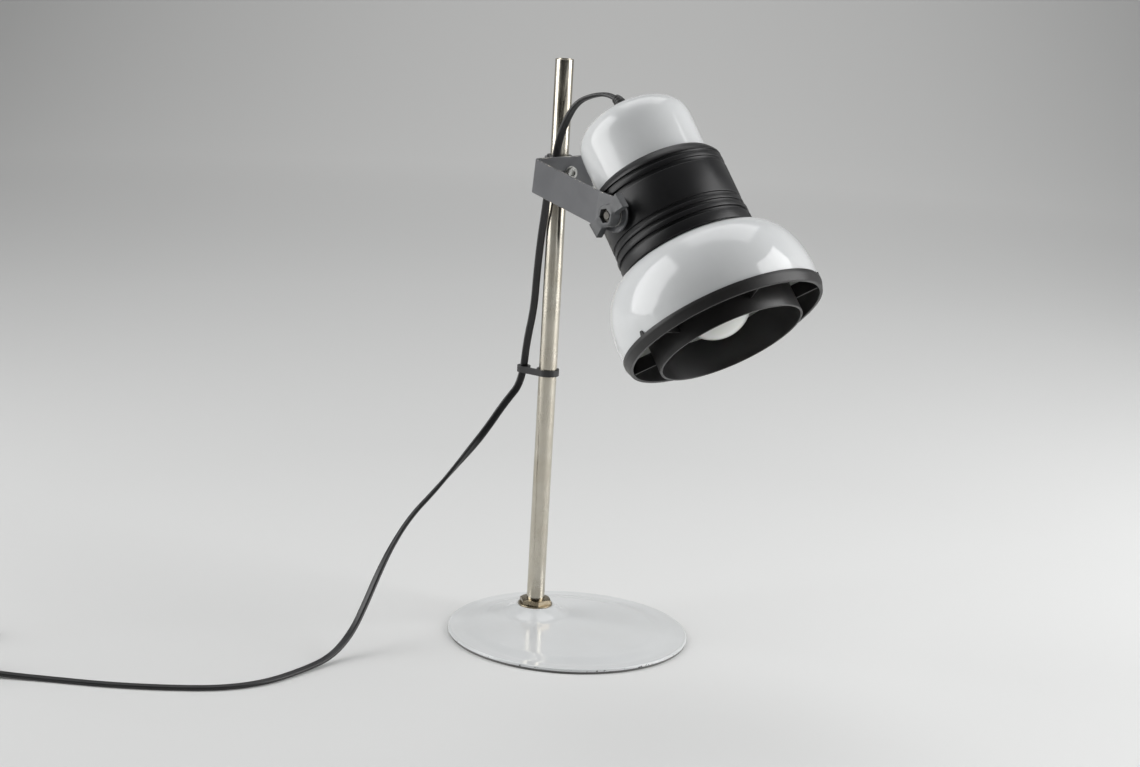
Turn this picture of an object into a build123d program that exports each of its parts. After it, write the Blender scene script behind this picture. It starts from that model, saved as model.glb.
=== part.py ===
from build123d import *
from math import atan2, cos, degrees, pi, radians, sin, sqrt, tan
import os

# Desk lamp on a pole. Millimetres, +Z up, the origin at the centre of the base's underside on the table.
# The lamp looks towards -Y, and is symmetric about the plane X = 0 apart from its wing nut and its cord.

# Clearances
running_gap = 0.05          # radial, between a turning or sliding piece and what carries it
face_gap = 0.1              # between faces that slide past each other
seat_gap = 0.05             # radial, between pieces that stay put in each other

# Base
base_radius = 100.0
base_crown = 6.4            # height at the middle
plateau_radius = base_radius - 24.0
plateau_height = 6.1        # height at the plateau's edge, where the slope begins
band_height = 4.0           # height of the nearly flat band inside the rim
band_inner_radius = base_radius - 11.0
rim_height = 4.3
rim_round = 1.6
shell_wall = 1.2
skirt_bottom = 2.0
boss_top_radius = 17.0
boss_height = 14.0
boss_foot_radius = 38.0
pad_inset = 0.8
pad_thickness = 1.2         # under the weight
pad_edge = 12.0             # width of the thicker edge that carries the shell
weight_thickness = 1.8
weight_gap = 1.7            # between the weight and the pad's thicker edge
weight_step = 1.7           # the weight is thicker towards its middle
weight_step_setback = 5.0   # from the plateau's edge to the weight's thicker middle
weight_hole_setback = 2.0   # the weight's hole inside the boss's foot

# Pole
pole_radius = 7.5
pole_wall = 1.25
pole_top = 475.0
pole_y = 42.0               # the pole stands behind the base's centre
pole_foot = 4.5
foot_nut_flats = 24.0
foot_nut_height = 4.2
foot_nut_chamfer = 1.1
foot_washer_radius = 14.4
foot_washer_thickness = 1.3

# Clamp on the pole
yoke_height = 384.6         # middle of the yoke's web
bush_wall = 1.4
bush_flange_radius = 10.2
bush_flange = 1.5
clamp_radius = 12.0
clamp_height = 22.0
clamp_nose_width = 13.0
clamp_slot = 1.6

# Yoke: a strap 27 mm wide
strap_width = 27.0
strap_thickness = 2.0
web_gap = 14.0              # from the pole's axis to the web's front face
yoke_dip = 6.0              # degrees by which the yoke points below the horizontal
web_half_width = 40.0       # to the outer face of the legs where they leave the web
leg_length = 118.0          # from the web's front face to the pivots
leg_parallel = 20.0         # the last stretch of each leg, before the pivot, runs straight on
strap_bend = 6.0            # radius of the bends at the strap's middle
web_screw_radius = 3.0
web_screw_head_radius = 5.0
web_screw_head_height = 2.6
web_washer_radius = 5.6
web_washer_thickness = 0.8

# Head: stations are counted along its axis from the pivots, forwards positive
head_dip = 50.0             # degrees by which the head's axis points below the horizontal
cap_setback = 8.0           # how much narrower than the band the rear cap is
cap_wall = 1.2
cap_shoulder = 28.0         # radius of the dome's shoulder
cap_apex = -90.6
cap_straight_to = -62.6
band_radius = 54.0
band_wall = 3.5
band_rear = -32.0
band_front = 39.2
band_shoulder_bulge = 1.1
band_shoulder_station = -23.2
band_groove_depth = 1.6
band_grooves = ((-23.2, -20.2), (-16.6, -12.8), (15.0, 18.2), (21.2, 24.4), (28.0, 31.0))
band_flare = 0.8            # the front rim and the rib behind it stand out by this much
band_rebate = 7.0           # depth to which the cap's rim is let into the band
bulkhead_station = 22.0
bulkhead_thickness = 2.5
shade_radius = 81.6
shade_rim_setback = 1.2     # the bell draws in by this much towards its rim
shade_wall = 1.0
shade_neck_gap = 0.5        # between the bell's neck and the band
shade_ledge_setback = 1.0   # the bell leaves its ledge this far inside the band's radius
shade_ledge_station = 41.5
shade_bulge = 47.5          # length along the axis over which it does
shade_rim_station = 104.6
louvre_overhang = 0.6       # the louvre's ring stands out beyond the bell by this much
louvre_rear = 100.4
louvre_front = 109.4
louvre_taper = 2.2          # its ring draws in by this much towards its front
louvre_lip = 1.5            # its inner wall stands this far inside the bell's rim
louvre_wall = 1.5
louvre_wall_rear = 93.5     # where the inner wall ends inside the bell
tube_radius = 59.0
tube_wall = 1.8
tube_rear = 89.5
tube_front = 118.7
rib_count = 6
rib_first_angle = -100.0    # degrees about the head's axis, from the side that faces down and back
rib_thickness = 1.6
rib_rear = 97.6
rib_front = 108.2
tab_angles = (-88.0, 20.0, 140.0)  # degrees, counted as for the ribs
tab_length = 3.5
tab_width = 5.0

# Pivots
pivot_boss_radius = 11.0
pivot_boss_rise = 1.0       # of the boss's flat face above the band
friction_washer_thickness = 2.0
pivot_bolt_radius = 3.0
pivot_bolt_reach = 8.2      # beyond the leg's outer face
pivot_bolt_head = 2.4
pivot_bolt_head_flats = 10.0
pivot_washer_radius = 9.0
outer_washer_thickness = 1.2
wing_hub_radius = 9.2
wing_depth = 8.6            # along the pivot
wing_reach = 20.0           # from the pivot to the end of each wing
wing_root_width = 9.0
wing_tip_width = 12.4
wing_angle = 46.0           # degrees above the horizontal, forwards
insert_flats = 10.0
insert_height = 4.4
pocket_depth = 3.4

# Lampholder and bulb
holder_radius = 20.0
holder_wall = 1.6
holder_rear = -12.0
holder_front = 33.0
holder_flange_radius = 23.0
holder_flange = 2.2
holder_boss_radius = 8.0
holder_boss_length = 8.0
ring_radius = 27.0
ring_height = 6.0
insert_radius = 17.6
insert_rear = -8.0
insert_front = 3.0
thread_radius = 14.0        # outside of the brass screw shell
thread_wall = 0.5
bulb_cap_radius = 13.1
bulb_cap_length = 26.0
bulb_radius = 30.0
bulb_centre_station = 81.6
bulb_neck_radius = 14.0
bulb_neck_end_radius = 12.4
bulb_glass = 0.9
rod_radius = 5.0            # threaded tube from the lampholder to the cap's apex
rod_wall = 1.4
rod_end = -94.4
cap_nut_flats = 14.0
cap_nut_height = 3.0

# Cord and what is on it
cord_diameter = 5.0
gland_collar_radius = 7.5
gland_collar = 3.4
gland_sleeve = 9.0          # length of the bent sleeve
gland_turn = 32.0           # degrees by which the sleeve bends towards the horizontal
gland_root_radius = 5.4
gland_tip_radius = 3.7
clip_z = 216.0
clip_height = 5.4
clip_wall = 1.9
clip_cord_bore = 3.7
clip_cord_xy = (-9.0, 62.0)
floor_z = cord_diameter / 2
coil_floor = 1.0            # the tie lies under the coil
flat_width = 6.2            # the real flex is flat, and stands on its edge in the coil
coil_pitch = 6.4            # from one turn to the next
coil_layer = 6.4            # from one layer to the next
coil_turns = 2              # in each of the two layers
coil_inner = 27.0
tie_wall = 0.8
tie_width = 6.0
switch_length = 60.0
switch_width = 27.0
switch_height = 19.0
switch_split = 8.5          # height at which the two halves meet
switch_wall = 1.8
rocker_length = 21.0
rocker_width = 11.0
rocker_rise = 3.0
rocker_tilt = 9.0           # degrees, as the rocker rests
plug_length = 34.0
plug_width = 27.0
plug_height = 14.0
plug_neck = 9.0             # half width where the cord enters
pin_radius = 2.0
pin_length = 19.0
pin_spacing = 18.6
cord_z_high = coil_floor + flat_width / 2

# Sizes that follow from these
cap_radius = band_radius - cap_setback
shade_neck_radius = band_radius - band_wall - shade_neck_gap
shade_ledge_radius = band_radius - shade_ledge_setback
pivot_boss_face = band_radius + pivot_boss_rise
leg_half_width = pivot_boss_face + friction_washer_thickness + strap_thickness
pivot_bolt_end = leg_half_width + pivot_bolt_reach
weight_hole_radius = boss_foot_radius - weight_hole_setback
shade_rim_radius = shade_radius - shade_rim_setback
louvre_radius = shade_radius + louvre_overhang
louvre_ledge_radius = shade_rim_radius - louvre_lip

os.makedirs("parts", exist_ok=True)
nodes = {}


def turned(*outline):
    """A solid turned about Z from a closed outline of lines and arcs in the plane XZ."""
    return revolve(make_face(Wire(outline)), Axis.Z)


def tube(outer, inner, low, high):
    """A plain ring about Z."""
    ring = Circle(outer) - Circle(inner) if inner > 0 else Circle(outer)
    return Pos(0, 0, low) * extrude(ring, high - low)


def hexagon(flats, low, high):
    return Pos(0, 0, low) * extrude(RegularPolygon(flats / 2, 6, major_radius=False), high - low)


def lines(points):
    """Straight edges from each point of the plane XZ to the next."""
    return [Line((a[0], 0, a[1]), (b[0], 0, b[1])) for a, b in zip(points, points[1:])]


# Base: a pressed dish with a boss off its centre, a cast weight inside and a soft pad under the skirt
def dish(inset):
    """The dish's filled outline, moved inwards by a wall of inset."""
    r_out = base_radius - inset
    edge_top = rim_height - inset
    low = skirt_bottom if inset == 0 else skirt_bottom - 1
    top = base_crown - inset
    middle = (top + plateau_height - inset) / 2 + 0.07
    crown = ThreePointArc((0, 0, top), (plateau_radius / 2, 0, middle), (plateau_radius, 0, plateau_height - inset))
    slope = [(plateau_radius, plateau_height - inset), (band_inner_radius, band_height - inset)]
    slope += [(r_out - rim_round, edge_top)]
    bend = rim_round * (1 - cos(radians(45)))
    edge = ThreePointArc((r_out - rim_round, 0, edge_top), (r_out - bend, 0, edge_top - bend), (r_out, 0, edge_top - rim_round))
    return turned(crown, *lines(slope), edge, *lines([(r_out, edge_top - rim_round), (r_out, low), (0, low), (0, top)]))


def boss(inset):
    """The boss round the pole's foot: a hollow flare up to a flat seat."""
    seat = boss_height - inset
    foot = plateau_height - 0.8 - inset
    flare = ThreePointArc(
        (boss_foot_radius - inset, 0, foot),
        (boss_top_radius + 7.0 - inset, 0, foot + 3.2),
        (boss_top_radius - inset, 0, seat - 1),
    )
    shoulder = Line(flare @ 1, (boss_top_radius - 1 - inset, 0, seat))
    low = skirt_bottom - 1 if inset else foot - 0.2
    bottom = [(boss_foot_radius - inset, low), (boss_foot_radius - inset, foot)]
    rest = lines([(boss_top_radius - 1 - inset, seat), (0, seat), (0, low)] + bottom)
    return Pos(0, pole_y, 0) * turned(flare, shoulder, *rest)


at_pole = Pos(0, pole_y, 0)
pole_bore = at_pole * tube(pole_radius + seat_gap, 0, -1, boss_height + 1)
nodes["base_shell"] = dish(0) + boss(0) - dish(shell_wall) - boss(shell_wall) - pole_bore
weight_top = pad_thickness + weight_thickness
pad_radius = base_radius - pad_inset
edge_inner = pad_radius - pad_edge
weight = tube(edge_inner - weight_gap, 0, pad_thickness, weight_top)
weight += tube(plateau_radius - weight_step_setback, 0, weight_top, weight_top + weight_step)
nodes["base_weight"] = weight - at_pole * tube(weight_hole_radius, 0, 0, boss_height)
nodes["base_pad"] = tube(pad_radius, 0, 0, pad_thickness) + tube(pad_radius, edge_inner, pad_thickness, skirt_bottom)

# Pole and the nuts that hold it
nodes["pole"] = at_pole * tube(pole_radius, pole_radius - pole_wall, pole_foot, pole_top)
washer = tube(foot_washer_radius, pole_radius + seat_gap, 0, foot_washer_thickness)
nut = hexagon(foot_nut_flats, 0, foot_nut_height) - tube(pole_radius + seat_gap, 0, -1, foot_nut_height + 1)
nodes["foot_washer"] = at_pole * Pos(0, 0, boss_height) * washer
corner = foot_nut_flats / 2 / cos(radians(30))
flat_top = foot_nut_flats / 2 - 0.4
cone = turned(*lines([
    (0, 0), (corner + 0.1, 0), (corner + 0.1, foot_nut_height - foot_nut_chamfer),
    (flat_top, foot_nut_height), (0, foot_nut_height), (0, 0),
]))
nodes["foot_nut"] = at_pole * Pos(0, 0, boss_height + foot_washer_thickness) * (nut & cone)
under = boss_height - shell_wall - foot_washer_thickness
small_washer = tube(boss_top_radius - shell_wall - 1.4, pole_radius + seat_gap, 0, foot_washer_thickness)
nodes["under_washer"] = at_pole * Pos(0, 0, under) * small_washer
nodes["under_nut"] = at_pole * Pos(0, 0, under - foot_nut_height) * nut

# Bush and clamp: the bush slides on the pole, and the clamp turns on the bush
at_clamp = Pos(0, pole_y, yoke_height)
bush_radius = pole_radius + running_gap + bush_wall
clamp_low = -clamp_height / 2
bush_low = clamp_low - face_gap
bush = tube(bush_radius, pole_radius + running_gap, bush_low - bush_flange, -bush_low + bush_flange)
for low in (bush_low - bush_flange, -bush_low):
    bush += tube(bush_flange_radius, pole_radius + running_gap, low, low + bush_flange)
nodes["pole_bush"] = at_clamp * bush
yoke_frame = Location((0, pole_y - web_gap, yoke_height), (yoke_dip, 0, 0))
web_back = strap_thickness
nose_depth = web_gap - strap_thickness
nose = yoke_frame * Pos(0, web_back, 0) * Box(
    clamp_nose_width, nose_depth, clamp_height + 4, align=(Align.CENTER, Align.MIN, Align.CENTER)
)
height_limit = at_clamp * Box(60, 60, clamp_height)
block = at_clamp * tube(clamp_radius, 0, clamp_low, -clamp_low) + nose & height_limit
in_front = yoke_frame * Pos(0, web_back, 0) * Box(80, 20, 60, align=(Align.CENTER, Align.MAX, Align.CENTER))
slot_back = at_clamp * Box(clamp_slot, clamp_radius + 2, 60, align=(Align.CENTER, Align.MIN, Align.CENTER))
block = block - in_front - slot_back - at_clamp * tube(bush_radius + running_gap, 0, -30, 30)
screw_axis = yoke_frame * Rotation(-90, 0, 0)
screw_reach = web_gap - bush_radius - 0.6
block = block - screw_axis * tube(web_screw_radius + seat_gap, 0, -1, web_gap)
nodes["pole_clamp"] = block

# Yoke
strap_half = strap_thickness / 2
leg_mid = leg_half_width - strap_half
web_mid = web_half_width - strap_half
strap_route = [
    (-leg_mid, -leg_length - strap_width / 2, 0),
    (-leg_mid, -leg_length + leg_parallel, 0),
    (-web_mid, strap_half, 0),
    (web_mid, strap_half, 0),
    (leg_mid, -leg_length + leg_parallel, 0),
    (leg_mid, -leg_length - strap_width / 2, 0),
]
strap_path = FilletPolyline(*strap_route, radius=strap_bend)
strap_start = Plane(strap_path @ 0, x_dir=(0, 0, 1), z_dir=strap_path % 0)
strap = sweep(strap_start * Rectangle(strap_width, strap_thickness), strap_path)
leg_end = Pos(0, -leg_length, 0)
side = leg_end * Cylinder(strap_width / 2, 3 * leg_half_width, rotation=(0, 90, 0))
side += leg_end * Box(
    3 * leg_half_width, leg_length + 20, strap_width + 2, align=(Align.CENTER, Align.MIN, Align.CENTER)
)
pivot_hole = leg_end * Cylinder(pivot_bolt_radius + running_gap, 3 * leg_half_width, rotation=(0, 90, 0))
screw_hole = Rotation(-90, 0, 0) * tube(web_screw_radius + seat_gap, 0, -5, 5)
nodes["yoke"] = yoke_frame * ((strap & side) - pivot_hole - screw_hole)
head_low = -web_washer_thickness
screw = tube(web_screw_radius, 0, head_low, screw_reach)
screw += tube(web_screw_head_radius, 0, head_low - web_screw_head_height, head_low)
screw -= hexagon(5, head_low - web_screw_head_height - 1, head_low - 0.8)
nodes["web_screw"] = screw_axis * screw
nodes["web_washer"] = screw_axis * tube(web_washer_radius, web_screw_radius + seat_gap, head_low, 0)

# Head: everything below is made about Z, forwards positive, and then laid on the head's own axis
dip = radians(yoke_dip)
pivot = Vector(0, pole_y - web_gap - leg_length * cos(dip), yoke_height - leg_length * sin(dip))
head_dir = Vector(0, -cos(radians(head_dip)), -sin(radians(head_dip)))
head = Plane(pivot, x_dir=(1, 0, 0), z_dir=head_dir)


def cap_profile(wall):
    """The rear cap's outline with its wall taken off: a cylinder, a round shoulder and a nearly flat top."""
    r = cap_radius - wall
    flat = cap_radius - cap_shoulder
    bend = cap_shoulder - wall
    middle = cap_straight_to
    turn = radians(45)
    shoulder = ThreePointArc(
        (r, 0, middle), (flat + bend * cos(turn), 0, middle - bend * sin(turn)), (flat, 0, middle - bend)
    )
    low = band_rear + band_rebate
    return turned(shoulder, *lines([(flat, middle - bend), (0, middle - bend), (0, low + wall), (r, low + wall), (r, middle)]))


cap_open = tube(cap_radius - cap_wall, 0, cap_straight_to, band_rear + band_rebate + 1)
cap = cap_profile(0) - cap_profile(cap_wall) - cap_open - tube(rod_radius + seat_gap, 0, cap_apex - 5, 0)
nodes["rear_cap"] = head * cap

# Centre band: a thick plastic sleeve with grooves, a bulkhead and two pivot bosses
band_inner = band_radius - band_wall
cap_seat = cap_radius + seat_gap
band_end_radius = cap_radius + 0.8
shoulder_mid = ((band_end_radius + band_radius) / 2, (band_rear + band_shoulder_station) / 2)
shoulder_mid = (shoulder_mid[0] + 0.9 * band_shoulder_bulge, 0, shoulder_mid[1] - 0.45 * band_shoulder_bulge)
shoulder_arc = ThreePointArc(
    (band_end_radius, 0, band_rear), shoulder_mid, (band_radius, 0, band_shoulder_station)
)
flare_at = band_grooves[3][1]
outline = [(band_radius, band_shoulder_station), (band_radius, flare_at), (band_radius + band_flare, flare_at)]
outline += [(band_radius + band_flare, band_front), (band_inner, band_front)]
bulkhead_front = bulkhead_station + bulkhead_thickness
stop_front = band_rear + band_rebate + 2.5
outline += [(band_inner, bulkhead_front), (holder_radius + seat_gap, bulkhead_front)]
outline += [(holder_radius + seat_gap, bulkhead_station), (band_inner, bulkhead_station)]
outline += [(band_inner, stop_front), (cap_radius - 4, stop_front), (cap_radius - 4, stop_front - 2.5)]
outline += [(cap_seat, stop_front - 2.5), (cap_seat, band_rear), (band_end_radius, band_rear)]
band = turned(shoulder_arc, *lines(outline))
for rear, front in band_grooves:
    band -= tube(band_radius + 5, band_radius - band_groove_depth, rear, front)
bore_x = Rotation(0, 90, 0)
for side_x in (-1, 1):
    boss_pad = Rotation(0, 90 * side_x, 0) * tube(pivot_boss_radius, 0, band_inner + 0.5, pivot_boss_face)
    band += boss_pad
band -= bore_x * Cylinder(pivot_bolt_radius + seat_gap, 4 * band_radius)
nodes["centre_band"] = head * band


# Front shade: a spun bell, clamped to the bulkhead by its inner flange
def shade_profile(wall):
    """One face of the bell as edges, from the flange outwards, with its wall taken off inside."""
    flange = bulkhead_station + bulkhead_thickness + wall
    ledge = shade_ledge_station + wall
    neck = shade_neck_radius - wall
    widest = shade_ledge_station + shade_bulge
    bulge = EllipticalCenterArc(
        (shade_ledge_radius, widest), shade_radius - wall - shade_ledge_radius, shade_bulge - wall, -90, arc_size=90
    )
    start = [(holder_radius + seat_gap, flange), (neck, flange), (neck, ledge), (shade_ledge_radius, ledge)]
    rim = lines([(shade_radius - wall, widest), (shade_rim_radius - wall, shade_rim_station)])
    return lines(start) + [Plane.XZ * bulge] + rim


outer_face = shade_profile(0)
inner_face = shade_profile(shade_wall)
closing = [Line(outer_face[-1] @ 1, inner_face[-1] @ 1), Line(outer_face[0] @ 0, inner_face[0] @ 0)]
nodes["front_shade"] = head * revolve(make_face(Wire(outer_face + inner_face + closing)), Axis.Z)

# Louvre: one moulding that grips the bell's rim
skirt_inner = shade_rim_radius + 0.6
louvre_inner = louvre_ledge_radius - louvre_wall
seat = shade_rim_station + face_gap
ring = [(skirt_inner, louvre_rear), (louvre_radius, louvre_rear), (louvre_radius, louvre_rear + 3)]
ring += [(louvre_radius - louvre_taper, louvre_front), (louvre_inner, louvre_front)]
ring += [(louvre_inner, louvre_wall_rear), (louvre_ledge_radius, louvre_wall_rear)]
ring += [(louvre_ledge_radius, seat), (skirt_inner, seat), (skirt_inner, louvre_rear)]
louvre = turned(*lines(ring))
louvre += tube(tube_radius, tube_radius - tube_wall, tube_rear, tube_front)
rib_length = louvre_inner - tube_radius + 1
rib_middle = (louvre_inner + tube_radius) / 2
for k in range(rib_count):
    rib = Pos(rib_middle, 0, (rib_rear + rib_front) / 2) * Box(rib_length, rib_thickness, rib_front - rib_rear)
    louvre += Rotation(0, 0, -90 + rib_first_angle + 360 / rib_count * k) * rib
for angle in tab_angles:
    tab = Pos((louvre_radius + skirt_inner + 0.25) / 2, 0, louvre_rear - tab_length / 2 + 0.5) * Box(
        louvre_radius - skirt_inner - 0.25, tab_width, tab_length + 1
    )
    louvre += Rotation(0, 0, angle - 90) * tab
nodes["louvre"] = head * louvre

# Lampholder: shell with a flange behind the bulkhead, ring in front of the bell's flange, insert and screw shell
shell = tube(holder_radius, holder_radius - holder_wall, holder_rear, holder_front)
shell += tube(holder_radius, rod_radius + seat_gap, holder_rear, holder_rear + 2)
shell += tube(holder_boss_radius, rod_radius + seat_gap, holder_rear - holder_boss_length, holder_rear)
shell += tube(holder_flange_radius, holder_radius - holder_wall, bulkhead_station - holder_flange, bulkhead_station)
nodes["lampholder_shell"] = head * shell
ring_low = bulkhead_station + bulkhead_thickness + shade_wall
nodes["lampholder_ring"] = head * tube(ring_radius, holder_radius + seat_gap, ring_low, ring_low + ring_height)
insert = tube(holder_radius - holder_wall - seat_gap, 0, insert_rear, insert_front)
nodes["lampholder_insert"] = head * (insert - tube(3.2, 0, insert_front - 2, insert_front + 1))
screw_shell = tube(thread_radius, thread_radius - thread_wall, insert_front, holder_front - 3)
nodes["lampholder_thread"] = head * screw_shell
nodes["centre_contact"] = head * tube(3, 0, insert_front - 2, insert_front + 1.2)
nodes["threaded_tube"] = head * tube(rod_radius, rod_radius - rod_wall, rod_end, holder_rear + 1)

# Bulb
bulb_cap_rear = insert_front + 1.2 + 1.0
bulb_cap = tube(bulb_cap_radius, bulb_cap_radius - 0.6, bulb_cap_rear + 3, bulb_cap_rear + bulb_cap_length)
bulb_cap += Pos(0, 0, bulb_cap_rear + 1.5) * Cone(5, bulb_cap_radius, 3)
bulb_cap += tube(4, 0, bulb_cap_rear - 1.0, bulb_cap_rear)
nodes["bulb_cap"] = head * bulb_cap


def bulb_side(wall):
    """The bulb's outline with its wall taken off: a globe that runs into its neck."""
    r = bulb_radius - wall
    leave = radians(23)
    neck_r = bulb_neck_radius - wall
    end_r = bulb_neck_end_radius - wall
    join = (r * cos(leave), bulb_centre_station - r * sin(leave))
    neck_end = bulb_cap_rear + bulb_cap_length
    globe = ThreePointArc((0, 0, bulb_centre_station + r), (r, 0, bulb_centre_station), (join[0], 0, join[1]))
    return [globe] + lines([join, (neck_r, neck_end + 5), (end_r, neck_end + 1), (end_r, neck_end - 8)])


glass_out = bulb_side(0)
glass_in = bulb_side(bulb_glass)
glass_ends = [Line(glass_out[0] @ 0, glass_in[0] @ 0), Line(glass_out[-1] @ 1, glass_in[-1] @ 1)]
nodes["bulb_glass"] = head * revolve(make_face(Wire(glass_out + glass_in + glass_ends)), Axis.Z)

# Pivot hardware, along X on both sides of the head
leg_inner = leg_half_width - strap_thickness
bolt = tube(pivot_bolt_radius, 0, band_inner - pivot_bolt_head, pivot_bolt_end)
bolt += hexagon(pivot_bolt_head_flats, band_inner - 3 * pivot_bolt_head, band_inner - 2 * pivot_bolt_head)
bolt += tube(pivot_bolt_radius, 0, band_inner - 2 * pivot_bolt_head, band_inner)
inner_washer = tube(
    pivot_washer_radius, pivot_bolt_radius + seat_gap, pivot_boss_face + face_gap / 2, leg_inner - face_gap
)
outer_low = leg_half_width + face_gap
outer_washer = tube(
    pivot_washer_radius, pivot_bolt_radius + seat_gap, outer_low, outer_low + outer_washer_thickness
)
near = head * Rotation(0, -90, 0)
far = head * Rotation(0, 90, 0)
nodes["pivot_bolts"] = Compound([near * bolt, far * bolt])
nodes["friction_washers"] = Compound([near * inner_washer, far * inner_washer])
nodes["outer_washers"] = Compound([near * outer_washer, far * outer_washer])
nut_low = outer_low + outer_washer_thickness
locknut = hexagon(insert_flats, nut_low, nut_low + insert_height) - tube(pivot_bolt_radius + seat_gap, 0, 0, 99)
nodes["far_pivot_nut"] = far * locknut

# Wing nut on the near pivot, which is the one on the side of -X
wing_low = nut_low + face_gap
wing_high = wing_low + wing_depth
hub = Cone(wing_hub_radius, wing_hub_radius - 1.2, wing_depth, align=(Align.CENTER, Align.CENTER, Align.MIN))
half_wing = [(0, wing_root_width / 2), (11, wing_root_width / 2), (wing_reach - 1.5, wing_tip_width / 2)]
half_wing += [(wing_reach, wing_tip_width / 2 - 1.5)]
right_wing = half_wing + [(x, -y) for x, y in reversed(half_wing)]
wing_outline = make_face(Polyline(*right_wing, close=True)) + make_face(
    Polyline(*[(-x, y) for x, y in right_wing], close=True)
)
wings = extrude(wing_outline, wing_depth - 2.2)
wing = Pos(0, 0, wing_low) * (hub + Pos(0, 0, 1.1) * wings)
pocket_low = wing_high - pocket_depth
wing -= hexagon(insert_flats + 0.2, pocket_low - insert_height, wing_high + 1)
wing -= tube(pivot_bolt_radius + running_gap, 0, 0, 99)
near_upright = Plane(pivot, x_dir=(0, -cos(radians(wing_angle)), sin(radians(wing_angle))), z_dir=(-1, 0, 0))
nodes["wing_nut"] = near_upright * wing
insert_nut = hexagon(insert_flats, pocket_low - insert_height, pocket_low)
nodes["wing_insert"] = near_upright * (insert_nut - tube(pivot_bolt_radius + running_gap, 0, 0, 99))

# Gland at the cap's apex: a collar and a sleeve that bends towards the horizontal
collar = tube(gland_collar_radius, rod_radius + seat_gap, cap_apex - gland_collar, cap_apex)
collar += tube(gland_collar_radius - 1, rod_radius + seat_gap, rod_end, cap_apex - gland_collar)
collar += tube(gland_collar_radius - 1, 0, rod_end - 1.2, rod_end)
collar_end = rod_end - 1.2
back = -head_dir
rise = Vector(0, -back.Z, back.Y)
sleeve_radius = gland_sleeve / radians(gland_turn)
sleeve_start = pivot + back * -collar_end
sections = []
for k in range(4):
    turn = radians(gland_turn) * k / 3
    centre = sleeve_start + back * (sleeve_radius * sin(turn)) - rise * (sleeve_radius * (1 - cos(turn)))
    along = back * cos(turn) - rise * sin(turn)
    radius = gland_root_radius + (gland_tip_radius - gland_root_radius) * k / 3
    sections.append(Plane(centre, x_dir=(1, 0, 0), z_dir=along) * Circle(radius))
gland_tip = centre
gland_out = along
nodes["cord_gland"] = head * collar + loft(sections)

cap_nut = hexagon(cap_nut_flats, cap_apex + cap_wall, cap_apex + cap_wall + cap_nut_height)
nodes["cap_nut"] = head * (cap_nut - tube(rod_radius + seat_gap, 0, cap_apex, 0))
inner_end = holder_rear - holder_boss_length + 6
nodes["inner_flex"] = head * tube(cord_diameter / 2, 0, rod_end, inner_end)
core_radius = 0.9
cores = [Pos(x, 0, 0) * tube(core_radius, 0, inner_end, insert_rear) for x in (-1.3, 1.3)]
nodes["flex_cores"] = Compound([head * core for core in cores])

# Cable clip: a ring round the pole, an arm and a wider ring round the cord
clip_arm = Vector(clip_cord_xy[0], clip_cord_xy[1] - pole_y)
clip_turn = degrees(atan2(clip_arm.Y, clip_arm.X))
reach = clip_arm.length
pole_ring = pole_radius + clip_wall
cord_ring = clip_cord_bore + clip_wall
rings = Circle(pole_ring) + Pos(reach, 0) * Circle(cord_ring)
arm_outline = [(0, pole_ring), (reach, cord_ring), (reach, cord_ring - clip_wall), (0, pole_ring - clip_wall)]
arm = make_face(Polyline(*arm_outline, close=True))
rings = rings + arm - Circle(pole_radius + seat_gap) - Pos(reach, 0) * Circle(clip_cord_bore)
mouth = make_face(Polyline((0, 0), (-1, -14), (13, -14), (7, -2), close=True))
clip = extrude(rings - mouth, clip_height)
clip_at = Location((0, pole_y, clip_z - clip_height / 2), (0, 0, clip_turn))
nodes["cable_clip"] = clip_at * clip


# Cord: straight runs joined by tangent arcs
def cord_stretch(name, points):
    """A round tube along the points, each corner as open as its two runs allow."""
    points = [Vector(*p) for p in points]
    radii = []
    for a, b, c in zip(points, points[1:], points[2:]):
        before, after = b - a, c - b
        half_turn = radians(before.get_angle(after)) / 2
        radii.append(0.45 * min(before.length, after.length) / tan(half_turn))
    path = FilletPolyline(*points, radius=radii) if radii else Line(*points)
    solid = sweep(Plane(path @ 0, z_dir=path % 0) * Circle(cord_diameter / 2), path)
    nodes[name] = solid
    section = pi * cord_diameter**2 / 4
    print(f"{name}: length {path.length:.0f}, least radius {min(radii, default=0):.1f},"
          f" volume over section x length {solid.volume / section / path.length:.4f}")
    return path.length


def meet(point, towards, before, after):
    """Three points in line through a place where one stretch of cord ends and the next begins."""
    place = Vector(*point)
    along = Vector(*towards).normalized()
    return [tuple(place - along * before), tuple(place), tuple(place + along * after)]


exit_point = tuple(gland_tip)
under_web = meet((-12.5, 31.4, 403.0), (-0.06, 0.12, -1), 9, 9)
past_clamp = meet((-13.2, 39.6, 364.5), (0.10, 0.22, -1), 9, 12)
in_clip = meet((clip_cord_xy[0] + 0.3, clip_cord_xy[1] - 0.3, clip_z + 9), (-0.05, 0.04, -1), 14, 21)
lengths = []
lengths.append(cord_stretch("cord_head_loop", [
    exit_point,
    tuple(Vector(*exit_point) + gland_out * 9),
    (-4.0, 2.0, 450.5),
    (-9.0, 14.0, 444.0),
    (-11.0, 23.0, 430.0),
    under_web[0],
    under_web[1],
]))
lengths.append(cord_stretch("cord_yoke_turn", [
    under_web[1],
    under_web[2],
    (-15.3, 37.0, 381.0),
    past_clamp[0],
    past_clamp[1],
]))
lengths.append(cord_stretch("cord_drop", [
    past_clamp[1],
    past_clamp[2],
    (-9.0, 49.0, 329.0),
    (-7.0, 54.0, 299.0),
    (-6.4, 56.0, 268.0),
    in_clip[0],
    in_clip[1],
]))
view_edge = (-439.0, 161.0)
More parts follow.
